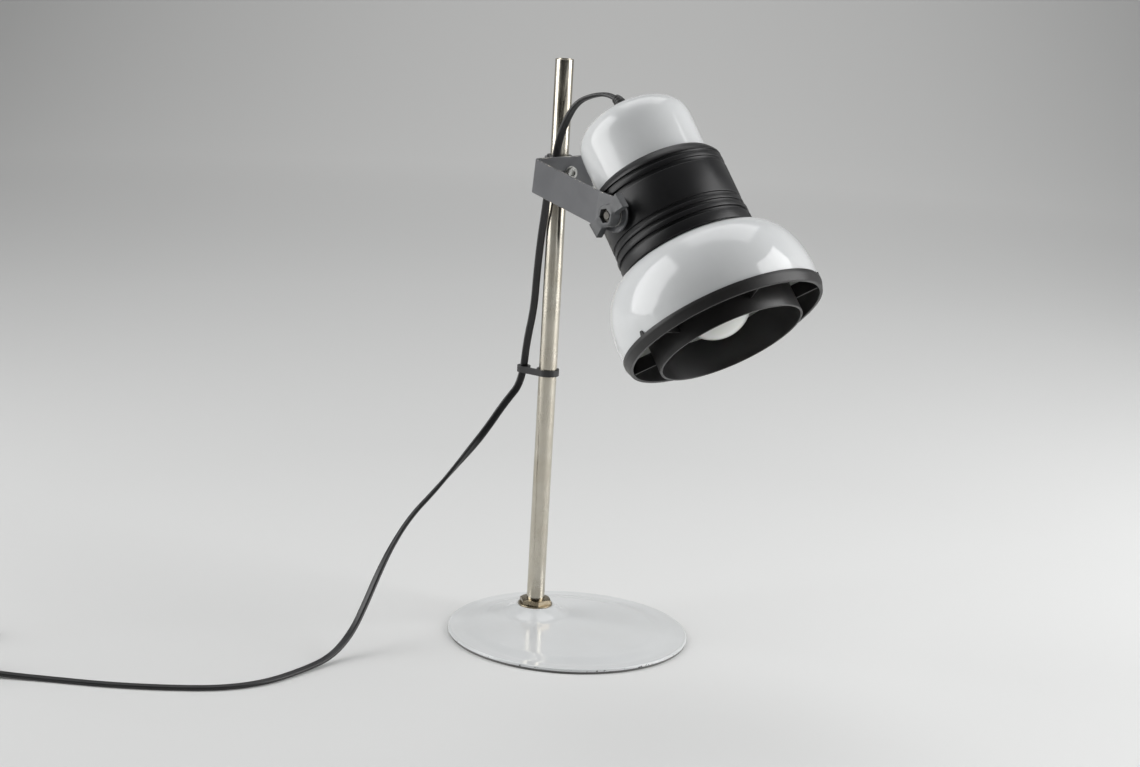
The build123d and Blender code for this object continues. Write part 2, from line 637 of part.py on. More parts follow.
out = Vector(-0.68, 0.733, 0).normalized()
switch_in = Vector(view_edge[0], view_edge[1], cord_z_high) + out * 22
lengths.append(cord_stretch("cord_floor", [
    in_clip[1],
    in_clip[2],
    (-23.0, 67.0, 188.0),
    (-42.0, 71.0, 162.0),
    (-63.0, 75.5, 139.0),
    (-86.0, 79.0, 116.0),
    (-107.0, 81.5, 98.0),
    (-127.0, 80.0, 76.0),
    (-145.0, 74.0, 56.0),
    (-162.0, 67.0, 36.0),
    (-181.0, 59.0, 17.0),
    (-207.0, 50.5, 5.0),
    (-240.0, 43.5, floor_z + 0.1),
    (-280.0, 37.0, floor_z),
    (-316.0, 46.0, floor_z + 0.1),
    (-352.0, 72.0, floor_z),
    (-384.0, 101.0, floor_z + 0.1),
    (-412.0, 133.0, floor_z),
    (-433.0, 155.0, floor_z + 0.4),
    tuple(switch_in - out * 8),
    tuple(switch_in),
]))

# In-line switch, out of view
switch_out = switch_in + out * switch_length
switch_mid = switch_in + out * (switch_length / 2)
switch_at = Plane(Vector(switch_mid.X, switch_mid.Y, 0), x_dir=out, z_dir=(0, 0, 1))


def switch_half(low, high, inset):
    """One half of the switch's body, its ends rounded in plan."""
    return Pos(0, 0, low) * extrude(
        RectangleRounded(switch_length - 2 * inset, switch_width - 2 * inset, 9 - inset), high - low
    )


base_half = switch_half(0, switch_split, 0) - switch_half(switch_wall, switch_split + 1, switch_wall)
nodes["switch_base"] = switch_at * base_half
cover = switch_half(switch_split, switch_height, 0) - switch_half(switch_split - 1, switch_height - switch_wall, switch_wall)
top_edges = cover.faces().sort_by(Axis.Z)[-1].outer_wire().edges()
cover = fillet(top_edges, 1.5)
rocker_slot = Pos(0, 0, switch_height) * Box(rocker_length + 2, rocker_width + 0.8, 8)
nodes["switch_cover"] = switch_at * (cover - rocker_slot)
rocker_axis_z = switch_height - switch_wall - 2.5
rocker_body = extrude(
    make_face(
        Polyline(
            (-rocker_length / 2, -1), (-rocker_length / 2, rocker_rise + 1.6), (0, rocker_rise + 0.4),
            (rocker_length / 2, rocker_rise + 1.6), (rocker_length / 2, -1), close=True,
        )
    ),
    rocker_width / 2,
    both=True,
)
rocker = Rotation(90, 0, 0) * rocker_body + Cylinder(1.5, switch_width - 2 * switch_wall - 0.4, rotation=(90, 0, 0))
nodes["switch_rocker"] = switch_at * Pos(0, 0, rocker_axis_z) * Rotation(0, rocker_tilt, 0) * rocker
contact = Pos(0, 0, switch_wall) * Box(22, 1.2, 4, align=(Align.CENTER, Align.CENTER, Align.MIN))
nodes["switch_contacts"] = switch_at * Compound([Pos(-6, 5, 0) * contact, Pos(6, -5, 0) * contact])

# Coil: in along the lower layer, up in half a turn, and out again along the upper one
coil_outer = coil_inner + coil_turns * coil_pitch
coil_start = switch_out + out * 52
inward = Vector(-out.Y, out.X, 0) * -1
coil_centre = coil_start + inward * coil_outer
start_angle = atan2(coil_start.Y - coil_centre.Y, coil_start.X - coil_centre.X)
turning = -1                # seen from above, the coil runs clockwise
last_angle = 2 * pi * (2 * coil_turns + 0.5)


def coil_point(angle):
    """The coil's middle line after it has turned by angle."""
    inward_end = 2 * pi * coil_turns
    if angle <= inward_end:
        radius = coil_outer - coil_pitch * angle / (2 * pi)
        height = 0.0
    elif angle <= inward_end + pi:
        radius = coil_inner
        height = coil_layer * (1 - cos(angle - inward_end)) / 2
    else:
        radius = coil_inner + coil_pitch * (angle - inward_end - pi) / (2 * pi)
        height = coil_layer
    place = start_angle + turning * angle
    return Vector(
        coil_centre.X + radius * cos(place), coil_centre.Y + radius * sin(place), cord_z_high + height
    )


def coil_direction(angle):
    step = 0.01
    return (coil_point(min(angle + step, last_angle)) - coil_point(max(angle - step, 0))).normalized()


def biarc(p, tp, q, tq):
    """Two tangent arcs from p to q with the given directions at both ends."""
    v = q - p
    t = tp + tq
    a = 2 * (1 - tp.dot(tq))
    b = 2 * v.dot(t)
    reach = (-b + sqrt(b * b + 4 * a * v.dot(v))) / (2 * a)
    joint = (p + q + (tp - tq) * reach) * 0.5
    middle = ((q - tq * reach) - (p + tp * reach)).normalized()
    return [Edge.make_tangent_arc(p, tp, joint), Edge.make_tangent_arc(joint, middle, q)]


quarters = round(last_angle / (pi / 2))
knots = [last_angle * k / quarters for k in range(quarters + 1)]
coil_edges = []
for a, b in zip(knots, knots[1:]):
    coil_edges += biarc(coil_point(a), coil_direction(a), coil_point(b), coil_direction(b))
lead = cord_diameter
first, first_dir = coil_point(0), coil_direction(0)
last, last_dir = coil_point(last_angle), coil_direction(last_angle)
coil_edges = [Edge.make_line(first - first_dir * lead, first)] + coil_edges + [Edge.make_line(last, last + last_dir * lead)]
coil_path = Wire(coil_edges)
coil = sweep(Plane(first - first_dir * lead, z_dir=first_dir) * Circle(cord_diameter / 2), coil_path)
nodes["cord_coil"] = coil
step_count = 36
samples = [coil_point(last_angle * k / (quarters * step_count)) for k in range(quarters * step_count + 1)]
skip = round(0.5 * 4 * step_count)
least_gap = min(
    (samples[i] - samples[j]).length
    for i in range(0, len(samples), 3)
    for j in range(i + skip, len(samples), 3)
) - cord_diameter
print(f"cord_coil: length {coil_path.length:.0f}, least gap to itself {least_gap:.2f},"
      f" volume over section x length {coil.volume / (pi * cord_diameter**2 / 4) / coil_path.length:.4f}")
lengths.append(coil_path.length)
lead_end = first - first_dir * lead
lengths.append(cord_stretch("cord_switch_lead", [
    tuple(switch_out),
    tuple(switch_out + out * 15),
    tuple(lead_end - first_dir * 15),
    tuple(lead_end),
]))

# Tie round the bundle of turns
tie_angle = start_angle + turning * radians(150)
bundle_middle = (coil_inner + coil_outer) / 2
bundle_width = coil_outer - coil_inner + cord_diameter + 2.4
bundle_height = coil_layer + flat_width + 0.4
tie_face = Rectangle(bundle_width + 2 * tie_wall, bundle_height + 2 * tie_wall)
tie_face -= Rectangle(bundle_width, bundle_height)
radial = Vector(cos(tie_angle), sin(tie_angle), 0)
tie_centre = Vector(coil_centre.X, coil_centre.Y, 0) + radial * bundle_middle
tie_centre += Vector(0, 0, tie_wall + bundle_height / 2)
tie_plane = Plane(tie_centre, x_dir=radial, z_dir=Vector(-radial.Y, radial.X, 0))
nodes["cord_tie"] = extrude(tie_plane * tie_face, tie_width / 2, both=True)

# Plug beside the coil
tail_start = last + last_dir * lead
tail_dir = last_dir
plug_dir = Vector(tail_dir.X, tail_dir.Y, 0).normalized()
plug_in = tail_start + plug_dir * 40
plug_in = Vector(plug_in.X, plug_in.Y, plug_height / 2)
lengths.append(cord_stretch("cord_tail", [
    tuple(tail_start),
    tuple(tail_start + tail_dir * 13),
    tuple(plug_in - plug_dir * 13),
    tuple(plug_in),
]))
plug_at = Plane(plug_in, x_dir=Vector(0, 0, 1).cross(plug_dir), z_dir=plug_dir)
half_plug = plug_width / 2
plug_plan = Polyline(
    (-plug_neck / 2, 0), (-plug_neck / 2 - 1.5, 9), (-half_plug, 16), (-half_plug, plug_length),
    (half_plug, plug_length), (half_plug, 16), (plug_neck / 2 + 1.5, 9), (plug_neck / 2, 0), close=True,
)
plug = extrude(make_face(plug_plan), plug_height / 2, both=True)
plug = fillet(plug.edges().filter_by(Axis.Z), 1.5)
nodes["plug_body"] = plug_at * Rotation(90, 0, 0) * plug
pins = [Pos(x, 0, plug_length) * extrude(Circle(pin_radius), pin_length) for x in (-pin_spacing / 2, pin_spacing / 2)]
nodes["plug_pins"] = Compound([plug_at * pin for pin in pins])
print(f"cord in all: {sum(lengths) + switch_length:.0f} mm to the plug")

for name, solid in nodes.items():
    export_step(solid, f"parts/{name}.step")
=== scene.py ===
import math
import bmesh
import bpy
import numpy as np
from mathutils import Matrix, Vector


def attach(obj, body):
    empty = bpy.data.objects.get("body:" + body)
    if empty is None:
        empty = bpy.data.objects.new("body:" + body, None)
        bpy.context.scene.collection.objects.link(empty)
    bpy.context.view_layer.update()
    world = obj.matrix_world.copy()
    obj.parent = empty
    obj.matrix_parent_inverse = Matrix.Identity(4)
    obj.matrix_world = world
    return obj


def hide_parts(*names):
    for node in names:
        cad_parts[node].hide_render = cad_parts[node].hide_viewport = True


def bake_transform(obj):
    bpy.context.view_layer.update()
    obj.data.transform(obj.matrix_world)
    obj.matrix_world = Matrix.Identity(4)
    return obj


# Desk lamp on a pole. Shapes are worked out in millimetres and turned into metres as they become meshes.
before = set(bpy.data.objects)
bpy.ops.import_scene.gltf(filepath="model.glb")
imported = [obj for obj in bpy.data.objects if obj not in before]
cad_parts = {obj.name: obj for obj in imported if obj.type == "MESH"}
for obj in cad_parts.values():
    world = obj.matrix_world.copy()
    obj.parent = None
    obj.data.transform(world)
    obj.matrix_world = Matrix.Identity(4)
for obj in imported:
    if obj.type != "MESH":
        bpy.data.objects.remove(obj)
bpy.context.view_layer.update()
mm = 0.001

# ---- Base shell ----
# A round dish pressed from one sheet of steel, drawn up into a hollow boss where the pole stands and
# turned down at its rim. It is enamelled white all over: glossy, faintly rippled, with a few chips at the rim.
base_radius = 100.0
base_crown, crown_fall = 6.4, 0.3
slope_from, slope_to, slope_drop = 76.0, 89.0, 2.1
rim_height, rim_flat, rim_lift = 4.3, 98.0, 0.35
rim_round = 1.6
shell_wall = 1.2
skirt_bottom = 2.0
pole_y, pole_hole = 42.0, 7.55
boss_height, seat_radius = 14.0, 15.9
boss_top_radius, boss_foot_radius = 17.0, 38.0
flare_foot, flare_rise, flare_power = 5.3, 7.7, 1.95
foot_fillet = 1.3
enamel = (0.80, 0.815, 0.82)


def around(count):
    """That many angles, evenly round a circle."""
    return np.linspace(0, 2 * np.pi, count, endpoint=False)


def smooth(x, low, high):
    """A smooth step from 0 at low to 1 at high."""
    t = np.clip((x - low) / (high - low), 0, 1)
    return t * t * (3 - 2 * t)


def higher(a, b, soft):
    """The higher of two heights, with a fillet above both where they differ by less than soft."""
    near = np.maximum(soft - np.abs(a - b), 0) / soft
    return np.maximum(a, b) + near * near * soft / 4


def eased(corners, cut, closed=False, steps=4):
    """A line through corners, each rounded by a parabola that starts at cut from the corner, or at 0.45 of a short
    side."""
    p = np.asarray(corners, float)
    out = []
    for k in range(len(p)):
        if not closed and k in (0, len(p) - 1):
            out.append(p[k : k + 1])
            continue
        before, after = p[k - 1] - p[k], p[(k + 1) % len(p)] - p[k]
        reach = [min(cut, 0.45 * np.linalg.norm(side)) / np.linalg.norm(side) for side in (before, after)]
        t = np.linspace(0, 1, steps)[:, None]
        out.append(p[k] + (1 - t) ** 2 * before * reach[0] + t**2 * after * reach[1])
    return np.concatenate(out)


def added(name, data):
    """A new object in the scene."""
    piece = bpy.data.objects.new(name, data)
    bpy.context.collection.objects.link(piece)
    return piece


def skin(name, grids, seen_from, through=False, crease=38):
    """One mesh from grids of points in millimetres, rows by columns. Faces join each row to the next one, the last
    column to the first and, with through, the last row to the first. They are turned over together where they look
    towards seen_from more than away from it."""
    points, quads, start = [], [], 0
    for grid in grids:
        rows, columns = grid.shape[:2]
        index = np.arange(rows * columns).reshape(rows, columns) + start
        lower = np.roll(index, -1, 0)
        pairs = [index, np.roll(index, -1, 1), np.roll(lower, -1, 1), lower]
        kept = rows if through else rows - 1
        faces = np.stack([p[:kept] for p in pairs], -1).reshape(-1, 4)
        flat = grid.reshape(-1, 3)
        corner = [flat[faces[:, k] - start] for k in range(4)]
        facing = np.cross(corner[2] - corner[0], corner[3] - corner[1])
        if np.sum(facing * (sum(corner) / 4 - np.asarray(seen_from, float))) < 0:
            faces = faces[:, ::-1]
        points.append(flat)
        quads.append(faces)
        start += rows * columns
    mesh = bpy.data.meshes.new(name)
    mesh.from_pydata((np.concatenate(points) * mm).tolist(), [], np.concatenate(quads).tolist())
    work = bmesh.new()
    work.from_mesh(mesh)
    bmesh.ops.remove_doubles(work, verts=work.verts, dist=2e-6)
    bmesh.ops.dissolve_degenerate(work, edges=work.edges, dist=1e-7)
    work.to_mesh(mesh)
    work.free()
    mesh.shade_smooth()
    mesh.set_sharp_from_angle(angle=math.radians(crease))
    return added(name, mesh)


def walled(piece, wall):
    """Gives an open skin its wall, laid inwards from its outer face."""
    solid = piece.modifiers.new("wall", "SOLIDIFY")
    solid.thickness = wall * mm
    solid.offset = -1
    solid.use_even_offset = True
    return piece


def fitted(piece, body, slot, *nodes, material=None):
    """The piece gets its material and body, and the CAD nodes that it stands for are hidden. slot is not used. A flex
    that runs between bodies has no body here."""
    if material:
        piece.data.materials.append(material)
    if body:
        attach(piece, body)
    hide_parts(*nodes)
    return piece


def feed(tree, node, inputs):
    """Gives a node's inputs their values, or links them to the sockets that feed them."""
    for key, value in inputs.items():
        if isinstance(value, bpy.types.NodeSocket):
            tree.links.new(value, node.inputs[key])
        else:
            node.inputs[key].default_value = value


def put(tree, kind, inputs=None, **settings):
    """A new shader node with its settings, fed at its inputs."""
    made = tree.nodes.new("ShaderNode" + kind)
    for key, value in settings.items():
        setattr(made, key, value)
    feed(tree, made, inputs or {})
    return made


def coat(name):
    """A new material, its tree and its shader."""
    material = bpy.data.materials.new(name)
    material.use_nodes = True
    return material, material.node_tree, material.node_tree.nodes["Principled BSDF"]


def reckon(tree, operation, *values, clamp=False):
    """The result of a Math node on one or two numbers or sockets."""
    return put(tree, "Math", dict(enumerate(values)), operation=operation, use_clamp=clamp).outputs[0]


def ranged(tree, value, low, high, to_low=0.0, to_high=1.0):
    """A socket's value brought from the range low to high to the other one, and held at its ends."""
    ends = {"From Min": low, "From Max": high, "To Min": to_low, "To Max": to_high}
    return put(tree, "MapRange", {"Value": value, **ends}).outputs[0]


def noise(tree, vector, scale, detail, **more):
    """The value of a noise over a vector."""
    return put(tree, "TexNoise", {"Vector": vector, "Scale": scale, "Detail": detail, **more}).outputs[0]


def bumped(tree, body, height, depth):
    """Gives a shader bumps, depth millimetres high where the socket height is 1."""
    bump = put(tree, "Bump", {"Height": height, "Distance": depth * mm, "Strength": 1.0})
    feed(tree, body, {"Normal": bump.outputs[0]})


def effect(name, inputs, outputs):
    """An empty node group with named sockets. Returns its tree, the sockets that it is given and its output node."""
    tree = bpy.data.node_groups.new(name, "ShaderNodeTree")
    for way, sockets in (("INPUT", inputs), ("OUTPUT", outputs)):
        for label, kind in sockets.items():
            tree.interface.new_socket(label, in_out=way, socket_type="NodeSocket" + kind)
    return tree, tree.nodes.new("NodeGroupInput").outputs, tree.nodes.new("NodeGroupOutput")


def handled_effect():
    """What years of use leave: colour a little uneven in patches, gloss that varies where it was wiped, and grain."""
    numbers = dict.fromkeys(("Staining", "Patch size", "Gloss low", "Gloss high", "Grain size"), "Float")
    tree, given, made = effect(
        "handled", {"Vector": "Vector", "Colour": "Color", "Stain": "Color", **numbers},
        {"Colour": "Color", "Roughness": "Float", "Height": "Float"},
    )
    patch = noise(tree, given["Vector"], given["Patch size"], 5.0, Roughness=0.62)
    share = reckon(tree, "MULTIPLY", ranged(tree, patch, 0.38, 0.72), given["Staining"])
    mixed = put(tree, "Mix", {"Factor": share, 6: given["Colour"], 7: given["Stain"]}, data_type="RGBA")
    moved = put(tree, "VectorMath", {0: given["Vector"], 1: (0.7, 0.3, 0.5)}, operation="ADD")
    wiped = noise(tree, moved.outputs[0], given["Patch size"], 6.0, Distortion=0.8)
    gloss = ranged(tree, wiped, 0.35, 0.68, given["Gloss low"], given["Gloss high"])
    grain = noise(tree, given["Vector"], given["Grain size"], 3.0)
    feed(tree, made, {"Colour": mixed.outputs[2], "Roughness": gloss, "Height": grain})
    return tree


def nicks_effect():
    """Small sharp-edged spots where a coat has come off: noise above a level, only where Edge is near 1."""
    inputs = {"Vector": "Vector", "Edge": "Float", "Size": "Float", "Level": "Float"}
    tree, given, made = effect("nicks", inputs, {"Mask": "Float"})
    above = reckon(tree, "SUBTRACT", noise(tree, given["Vector"], given["Size"], 4.0, Roughness=0.7), given["Level"])
    sharp = reckon(tree, "MULTIPLY", above, 30.0, clamp=True)
    feed(tree, made, {"Mask": reckon(tree, "MULTIPLY", sharp, given["Edge"], clamp=True)})
    return tree


handled = handled_effect()
nicks = nicks_effect()


def tint(colour):
    """A colour as sockets take it, from its three shares or from one for a grey."""
    return (*np.broadcast_to(colour, 3).tolist(), 1)


def finish(name, colour, stain, staining, patch, gloss, grain, depth=0.0, **shader):
    """A material for one kind of surface: the handled effect drives its colour, its roughness and, where depth in
    millimetres isn't 0, its bumps. Returns the material, its tree, its shader, its coordinates and the effect."""
    material, tree, body = coat(name)
    place = put(tree, "TexCoord").outputs["Object"]
    values = {
        "Vector": place, "Colour": tint(colour), "Stain": tint(stain), "Staining": staining,
        "Patch size": patch, "Gloss low": gloss[0], "Gloss high": gloss[1], "Grain size": grain,
    }
    worn = put(tree, "Group", values, node_tree=handled).outputs
    feed(tree, body, {"Base Color": worn["Colour"], "Roughness": worn["Roughness"]})
    if depth:
        bumped(tree, body, worn["Height"], depth)
    feed(tree, body, {key.replace("_", " "): value for key, value in shader.items()})
    return material, tree, body, place, worn


def nicked(made, edge, size, level, bare, gloss, metal=True):
    """Lets what is under a finish, metal or not, show through in nicks where the socket edge is near 1."""
    material, tree, body, place, worn = made
    spots = {"Vector": place, "Edge": edge, "Size": size, "Level": level}
    spot = put(tree, "Group", spots, node_tree=nicks).outputs[0]
    colour = put(tree, "Mix", {"Factor": spot, 6: worn["Colour"], 7: tint(bare)}, data_type="RGBA")
    rough = put(tree, "Mix", {"Factor": spot, 2: worn["Roughness"], 3: gloss}, data_type="FLOAT")
    feed(tree, body, {"Base Color": colour.outputs[2], "Roughness": rough.outputs[0]})
    if metal:
        feed(tree, body, {"Metallic": spot})
    return material


def enamelled():
    """White enamel: orange peel a hundredth of a millimetre deep, and dark specks where the rim is chipped, which is
    beyond 98.8 mm from the middle and below 3.8 mm."""
    made = finish(
        "white_enamel", enamel, (0.70, 0.71, 0.70), 0.35, 14.0, (0.10, 0.20), grain=260.0, depth=0.012,
        IOR=1.5, Coat_Weight=0.25, Coat_Roughness=0.06,
    )
    tree = made[1]
    x, y, z = put(tree, "SeparateXYZ", {0: made[3]}).outputs
    radius = reckon(tree, "SQRT", reckon(tree, "ADD", reckon(tree, "POWER", x, 2.0), reckon(tree, "POWER", y, 2.0)))
    edge = reckon(tree, "MULTIPLY", ranged(tree, radius, 0.0988, 0.0996), ranged(tree, z, 0.0038, 0.0028))
    return nicked(made, edge, 210.0, 0.60, (0.05, 0.045, 0.04), 0.6, metal=False)


def dish_height(rho):
    """Height of the dish at rho from its centre: a crown that falls with rho squared, a soft step down to the band
    along the rim, and a slight lift there."""
    crown = base_crown - crown_fall * (rho / slope_from) ** 2
    step = slope_drop * smooth(rho, slope_from - 3, slope_to + 2)
    return crown - step + rim_lift * smooth(rho, slope_to, rim_flat)


def base_grid():
    """Rings about the pole out to the boss's foot, rings that pass evenly from there to the dish's own circles, and
    the rim as a quarter round with the skirt."""
    turn = around(240)
    unit = np.stack([np.cos(turn), np.sin(turn)], -1)
    rings = []

    def draped(flat, height):
        dish = dish_height(np.hypot(flat[:, 0], flat[:, 1]))
        rings.append(np.column_stack([flat, higher(height, dish, foot_fillet)]))

    def level_ring(rho, height):
        rings.append(np.column_stack([rho * unit, np.full(len(turn), height)]))

    seat = [(pole_hole, 13.0), (pole_hole, boss_height), (seat_radius, boss_height), (17.1, 12.75)]
    seat = eased(seat, 0.7)
    flat_rows = [(r, boss_height) for r in (9, 11, 13, 14.6)]
    way = np.linspace(0.0, 1.0, 30)
    flare_radius = boss_top_radius + (boss_foot_radius - boss_top_radius) * way
    flare = np.stack([flare_radius, flare_foot + flare_rise * (1 - way) ** flare_power], -1)
    for r, z in np.concatenate([seat[:5], flat_rows, seat[5:-1], flare]):
        draped(r * unit + (0, pole_y), z)
    inner = rings[-1][:, :2]
    for v in np.linspace(0, 1, 42)[1:]:
        flat = (1 - v) * inner + v * 90 * unit
        out = np.hypot(flat[:, 0], flat[:, 1] - pole_y) - boss_foot_radius
        draped(flat, flare_foot - 0.4 * out)
    for rho in (92, 94, 95.5, 97, rim_flat):
        level_ring(rho, dish_height(rho))
    bend = np.linspace(0, np.pi / 2, 8)
    edge = np.stack([base_radius - rim_round * (1 - np.sin(bend)), rim_height - rim_round * (1 - np.cos(bend))], -1)
    for rho, z in np.concatenate([edge, [(base_radius, 2.3), (base_radius - 0.1, skirt_bottom)]]):
        level_ring(rho, z)
    return np.stack(rings)


white_enamel = enamelled()
base_shell = walled(skin("base_enamel_shell", [base_grid()], (0, 0, -60)), shell_wall)
fitted(base_shell, "stand", "enamel_white", "base_shell", material=white_enamel)

# ---- Weight and pad ----
# A flat iron casting fills the dish and keeps the lamp upright. A dark rubber pad lies under it, and its thicker
# edge is the thin dark line on which the white rim stands. Neither is bonded: the nut under the boss holds them.
iron = finish(
    "cast_iron", (0.09, 0.088, 0.085), (0.16, 0.09, 0.05), 0.5, 30.0, (0.55, 0.8), 350.0, 0.15, Metallic=0.7,
)[0]
rubber = finish("pad_rubber", (0.17, 0.17, 0.165), (0.25, 0.24, 0.23), 0.5, 25.0, (0.6, 0.85), 900.0, 0.05)[0]


def painted(material, *nodes):
    """CAD nodes that stay as they are get a material in every slot."""
    for node in nodes:
        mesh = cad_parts[node].data
        if not mesh.materials:
            mesh.materials.append(material)
        for k in range(len(mesh.materials)):
            mesh.materials[k] = material


painted(iron, "base_weight")
painted(rubber, "base_pad")

# ---- Pole ----
# A steel tube, bright nickel plated, sawn square at the top. The plating has gone warm and a little cloudy, with fine
# marks along the tube.
pole_radius, pole_wall = 7.5, 1.25
pole_foot, pole_top = 4.5, 475.0
upright = (np.array([0, pole_y, 0]), np.eye(3))


def turned(profile, place, columns=96, swell=None):
    """A grid turned about a place's third axis from points (radius, station). swell is added to the radius, row by
    row and angle by angle."""
    origin, (x, y, z) = place
    a = around(columns) if np.isscalar(columns) else columns
    r = profile[:, 0, None] + (0 if swell is None else swell)
    r = np.broadcast_to(r, (len(profile), len(a)))[..., None]
    return origin + r * (np.cos(a)[:, None] * x + np.sin(a)[:, None] * y) + profile[:, 1, None, None] * z


def plated(name, colour, stain, staining, gloss, streak):
    """Plated metal: the handled effect, and fine lines along the axis from noise stretched forty times along Z."""
    material, tree, body, place, worn = finish(name, colour, stain, staining, 26.0, gloss, 900.0, Metallic=1.0)
    squeezed = put(tree, "Mapping", {"Vector": place, "Scale": (1.0, 1.0, 0.025)})
    lines = noise(tree, squeezed.outputs[0], 900.0, 4.0)
    uneven = ranged(tree, lines, 0.3, 0.7, -streak, streak)
    feed(tree, body, {"Roughness": reckon(tree, "ADD", worn["Roughness"], uneven, clamp=True)})
    bumped(tree, body, lines, 0.006)
    return material


nickel = plated("nickel_plate", (0.62, 0.585, 0.51), (0.40, 0.35, 0.26), 0.55, (0.14, 0.30), 0.05)
pole_bore = pole_radius - pole_wall
outline = eased(
    [(pole_radius, pole_foot), (pole_radius, pole_top), (pole_bore, pole_top), (pole_bore, pole_foot)],
    0.35, closed=True,
)
stretch = np.stack([np.full(60, pole_radius), np.linspace(pole_foot + 2, pole_top - 2, 60)], -1)
pole_profile = np.concatenate([outline[:4], stretch, outline[4:]])
pole = skin("nickel_pole", [turned(pole_profile, upright)], (0, 0, 0), through=True)
fitted(pole, "stand", "pole_nickel", "pole", material=nickel)

# ---- Nuts at the pole's foot ----
# A thin hexagon nut with a chamfered top stands on a plain washer, and clamps the tube to the boss against a
# second nut inside. Both are nickel plated like the tube, but brassy and dull from handling.
brassy = plated("worn_nickel", (0.46, 0.41, 0.31), (0.20, 0.15, 0.09), 0.7, (0.22, 0.42), 0.03)
zinc = plated("zinc_plate", (0.60, 0.60, 0.58), (0.36, 0.35, 0.32), 0.5, (0.3, 0.5), 0.03)


def dressed(node, name, body, slot, material, bevel):
    """A copy of a CAD node, its flat faces made whole and its edges broken by bevel."""
    crease = math.radians(34)
    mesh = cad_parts[node].data.copy()
    mesh.transform(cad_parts[node].matrix_world)
    work = bmesh.new()
    work.from_mesh(mesh)
    bmesh.ops.remove_doubles(work, verts=work.verts, dist=5e-6)
    bmesh.ops.dissolve_limit(work, angle_limit=math.radians(0.6), verts=work.verts, edges=work.edges)
    work.to_mesh(mesh)
    work.free()
    mesh.shade_smooth()
    mesh.set_sharp_from_angle(angle=crease)
    mesh.materials.clear()
    piece = added(name, mesh)
    edge = piece.modifiers.new("edge", "BEVEL")
    edge.width = bevel * mm
    edge.segments = 3
    edge.limit_method = "ANGLE"
    edge.angle_limit = crease
    return fitted(piece, body, slot, node, material=material)


dressed("foot_washer", "foot_washer_plate", "stand", "foot_hardware", brassy, 0.25)
dressed("foot_nut", "foot_nut_hexagon", "stand", "foot_hardware", brassy, 0.30)
painted(zinc, "under_washer", "under_nut")

# ---- Clamp and bush ----
# A split steel ring with a flat nose turns on a black plastic bush, and the bush slides on the tube. The screw
# through the yoke's web goes into the nose, and drawing it up closes the ring on the bush.
bush_black = finish("bush_plastic", (0.025, 0.025, 0.026), (0.06, 0.06, 0.058), 0.4, 30.0, (0.35, 0.5), 900.0, 0.02)[0]
strap_dip = math.radians(6)
strap_y, strap_z = 28.0, 384.6


def yoke_paint():
    """Grey stove enamel on steel, with bright nicks along the strap's two edges, from 13 mm off its middle plane. That
    plane dips by 6 degrees and goes through the point at strap_y and strap_z."""
    made = finish(
        "yoke_grey_paint", (0.118, 0.120, 0.127), (0.15, 0.152, 0.158), 0.6, 40.0, (0.30, 0.46), grain=1500.0,
        depth=0.012,
    )
    tree, place = made[1], made[3]
    up = (0, -math.sin(strap_dip), math.cos(strap_dip))
    level = put(tree, "VectorMath", {0: place, 1: up}, operation="DOT_PRODUCT").outputs["Value"]
    middle = (-strap_y * math.sin(strap_dip) + strap_z * math.cos(strap_dip)) * mm
    off = reckon(tree, "ABSOLUTE", reckon(tree, "SUBTRACT", level, middle))
    return nicked(made, ranged(tree, off, 0.01300, 0.01338), 260.0, 0.555, (0.55, 0.52, 0.46), 0.35)


grey_paint = yoke_paint()
dressed("pole_bush", "bush_sleeve", "pole_bush", "bush_plastic", bush_black, 0.2)
dressed("pole_clamp", "clamp_ring", "yoke", "clamp_paint", grey_paint, 0.35)

# ---- Yoke ----
# One strap of steel, 27 mm by 2, bent to a U whose legs first splay and then run parallel past the head. It is
# painted grey, and the paint is chipped along its edges. A socket screw with a washer holds it to the clamp.
dressed("yoke", "yoke_strap", "yoke", "yoke_paint", grey_paint, 0.3)
dressed("web_washer", "web_screw_washer", "yoke", "screw_steel", zinc, 0.15)
dressed("web_screw", "web_socket_screw", "yoke", "screw_steel", zinc, 0.25)

# ---- Rear cap ----
# The closed back of the spotlight head, spun from thin sheet: a straight side that runs over a full shoulder into
# a nearly flat crown. Enamelled white like the base, glossy, with a hole in the crown for the cord.
head_dip = math.radians(50)
pivot = np.array([0, -89.354, 372.266])
ahead = np.array([0, -math.cos(head_dip), -math.sin(head_dip)])
across = np.array([1.0, 0, 0])
head = (pivot, np.array([across, np.cross(ahead, across), ahead]))
cap_radius, cap_wall = 46.0, 1.2
cap_straight_to, cap_depth = -62.6, 28.0
cap_fullness, cap_hole = 2.62, 5.1

way = np.linspace(0, 1, 44)[1:] ** 0.85 * (np.pi / 2)
shoulder = np.stack([
    cap_radius * np.clip(np.cos(way), 0, 1) ** (2 / cap_fullness),
    cap_straight_to - cap_depth * np.sin(way) ** (2 / cap_fullness),
], -1)
shoulder = shoulder[shoulder[:, 0] > cap_hole + 0.9]
side = np.stack([np.full(10, cap_radius), np.linspace(-25, cap_straight_to, 10)], -1)
cap_profile = np.concatenate([side, shoulder, [(cap_hole, cap_straight_to - cap_depth)]])
rear_cap = walled(skin("rear_cap_shell", [turned(cap_profile, head, 160)], pivot - 40 * ahead), cap_wall)
fitted(rear_cap, "head", "shade_white", "rear_cap", material=white_enamel)

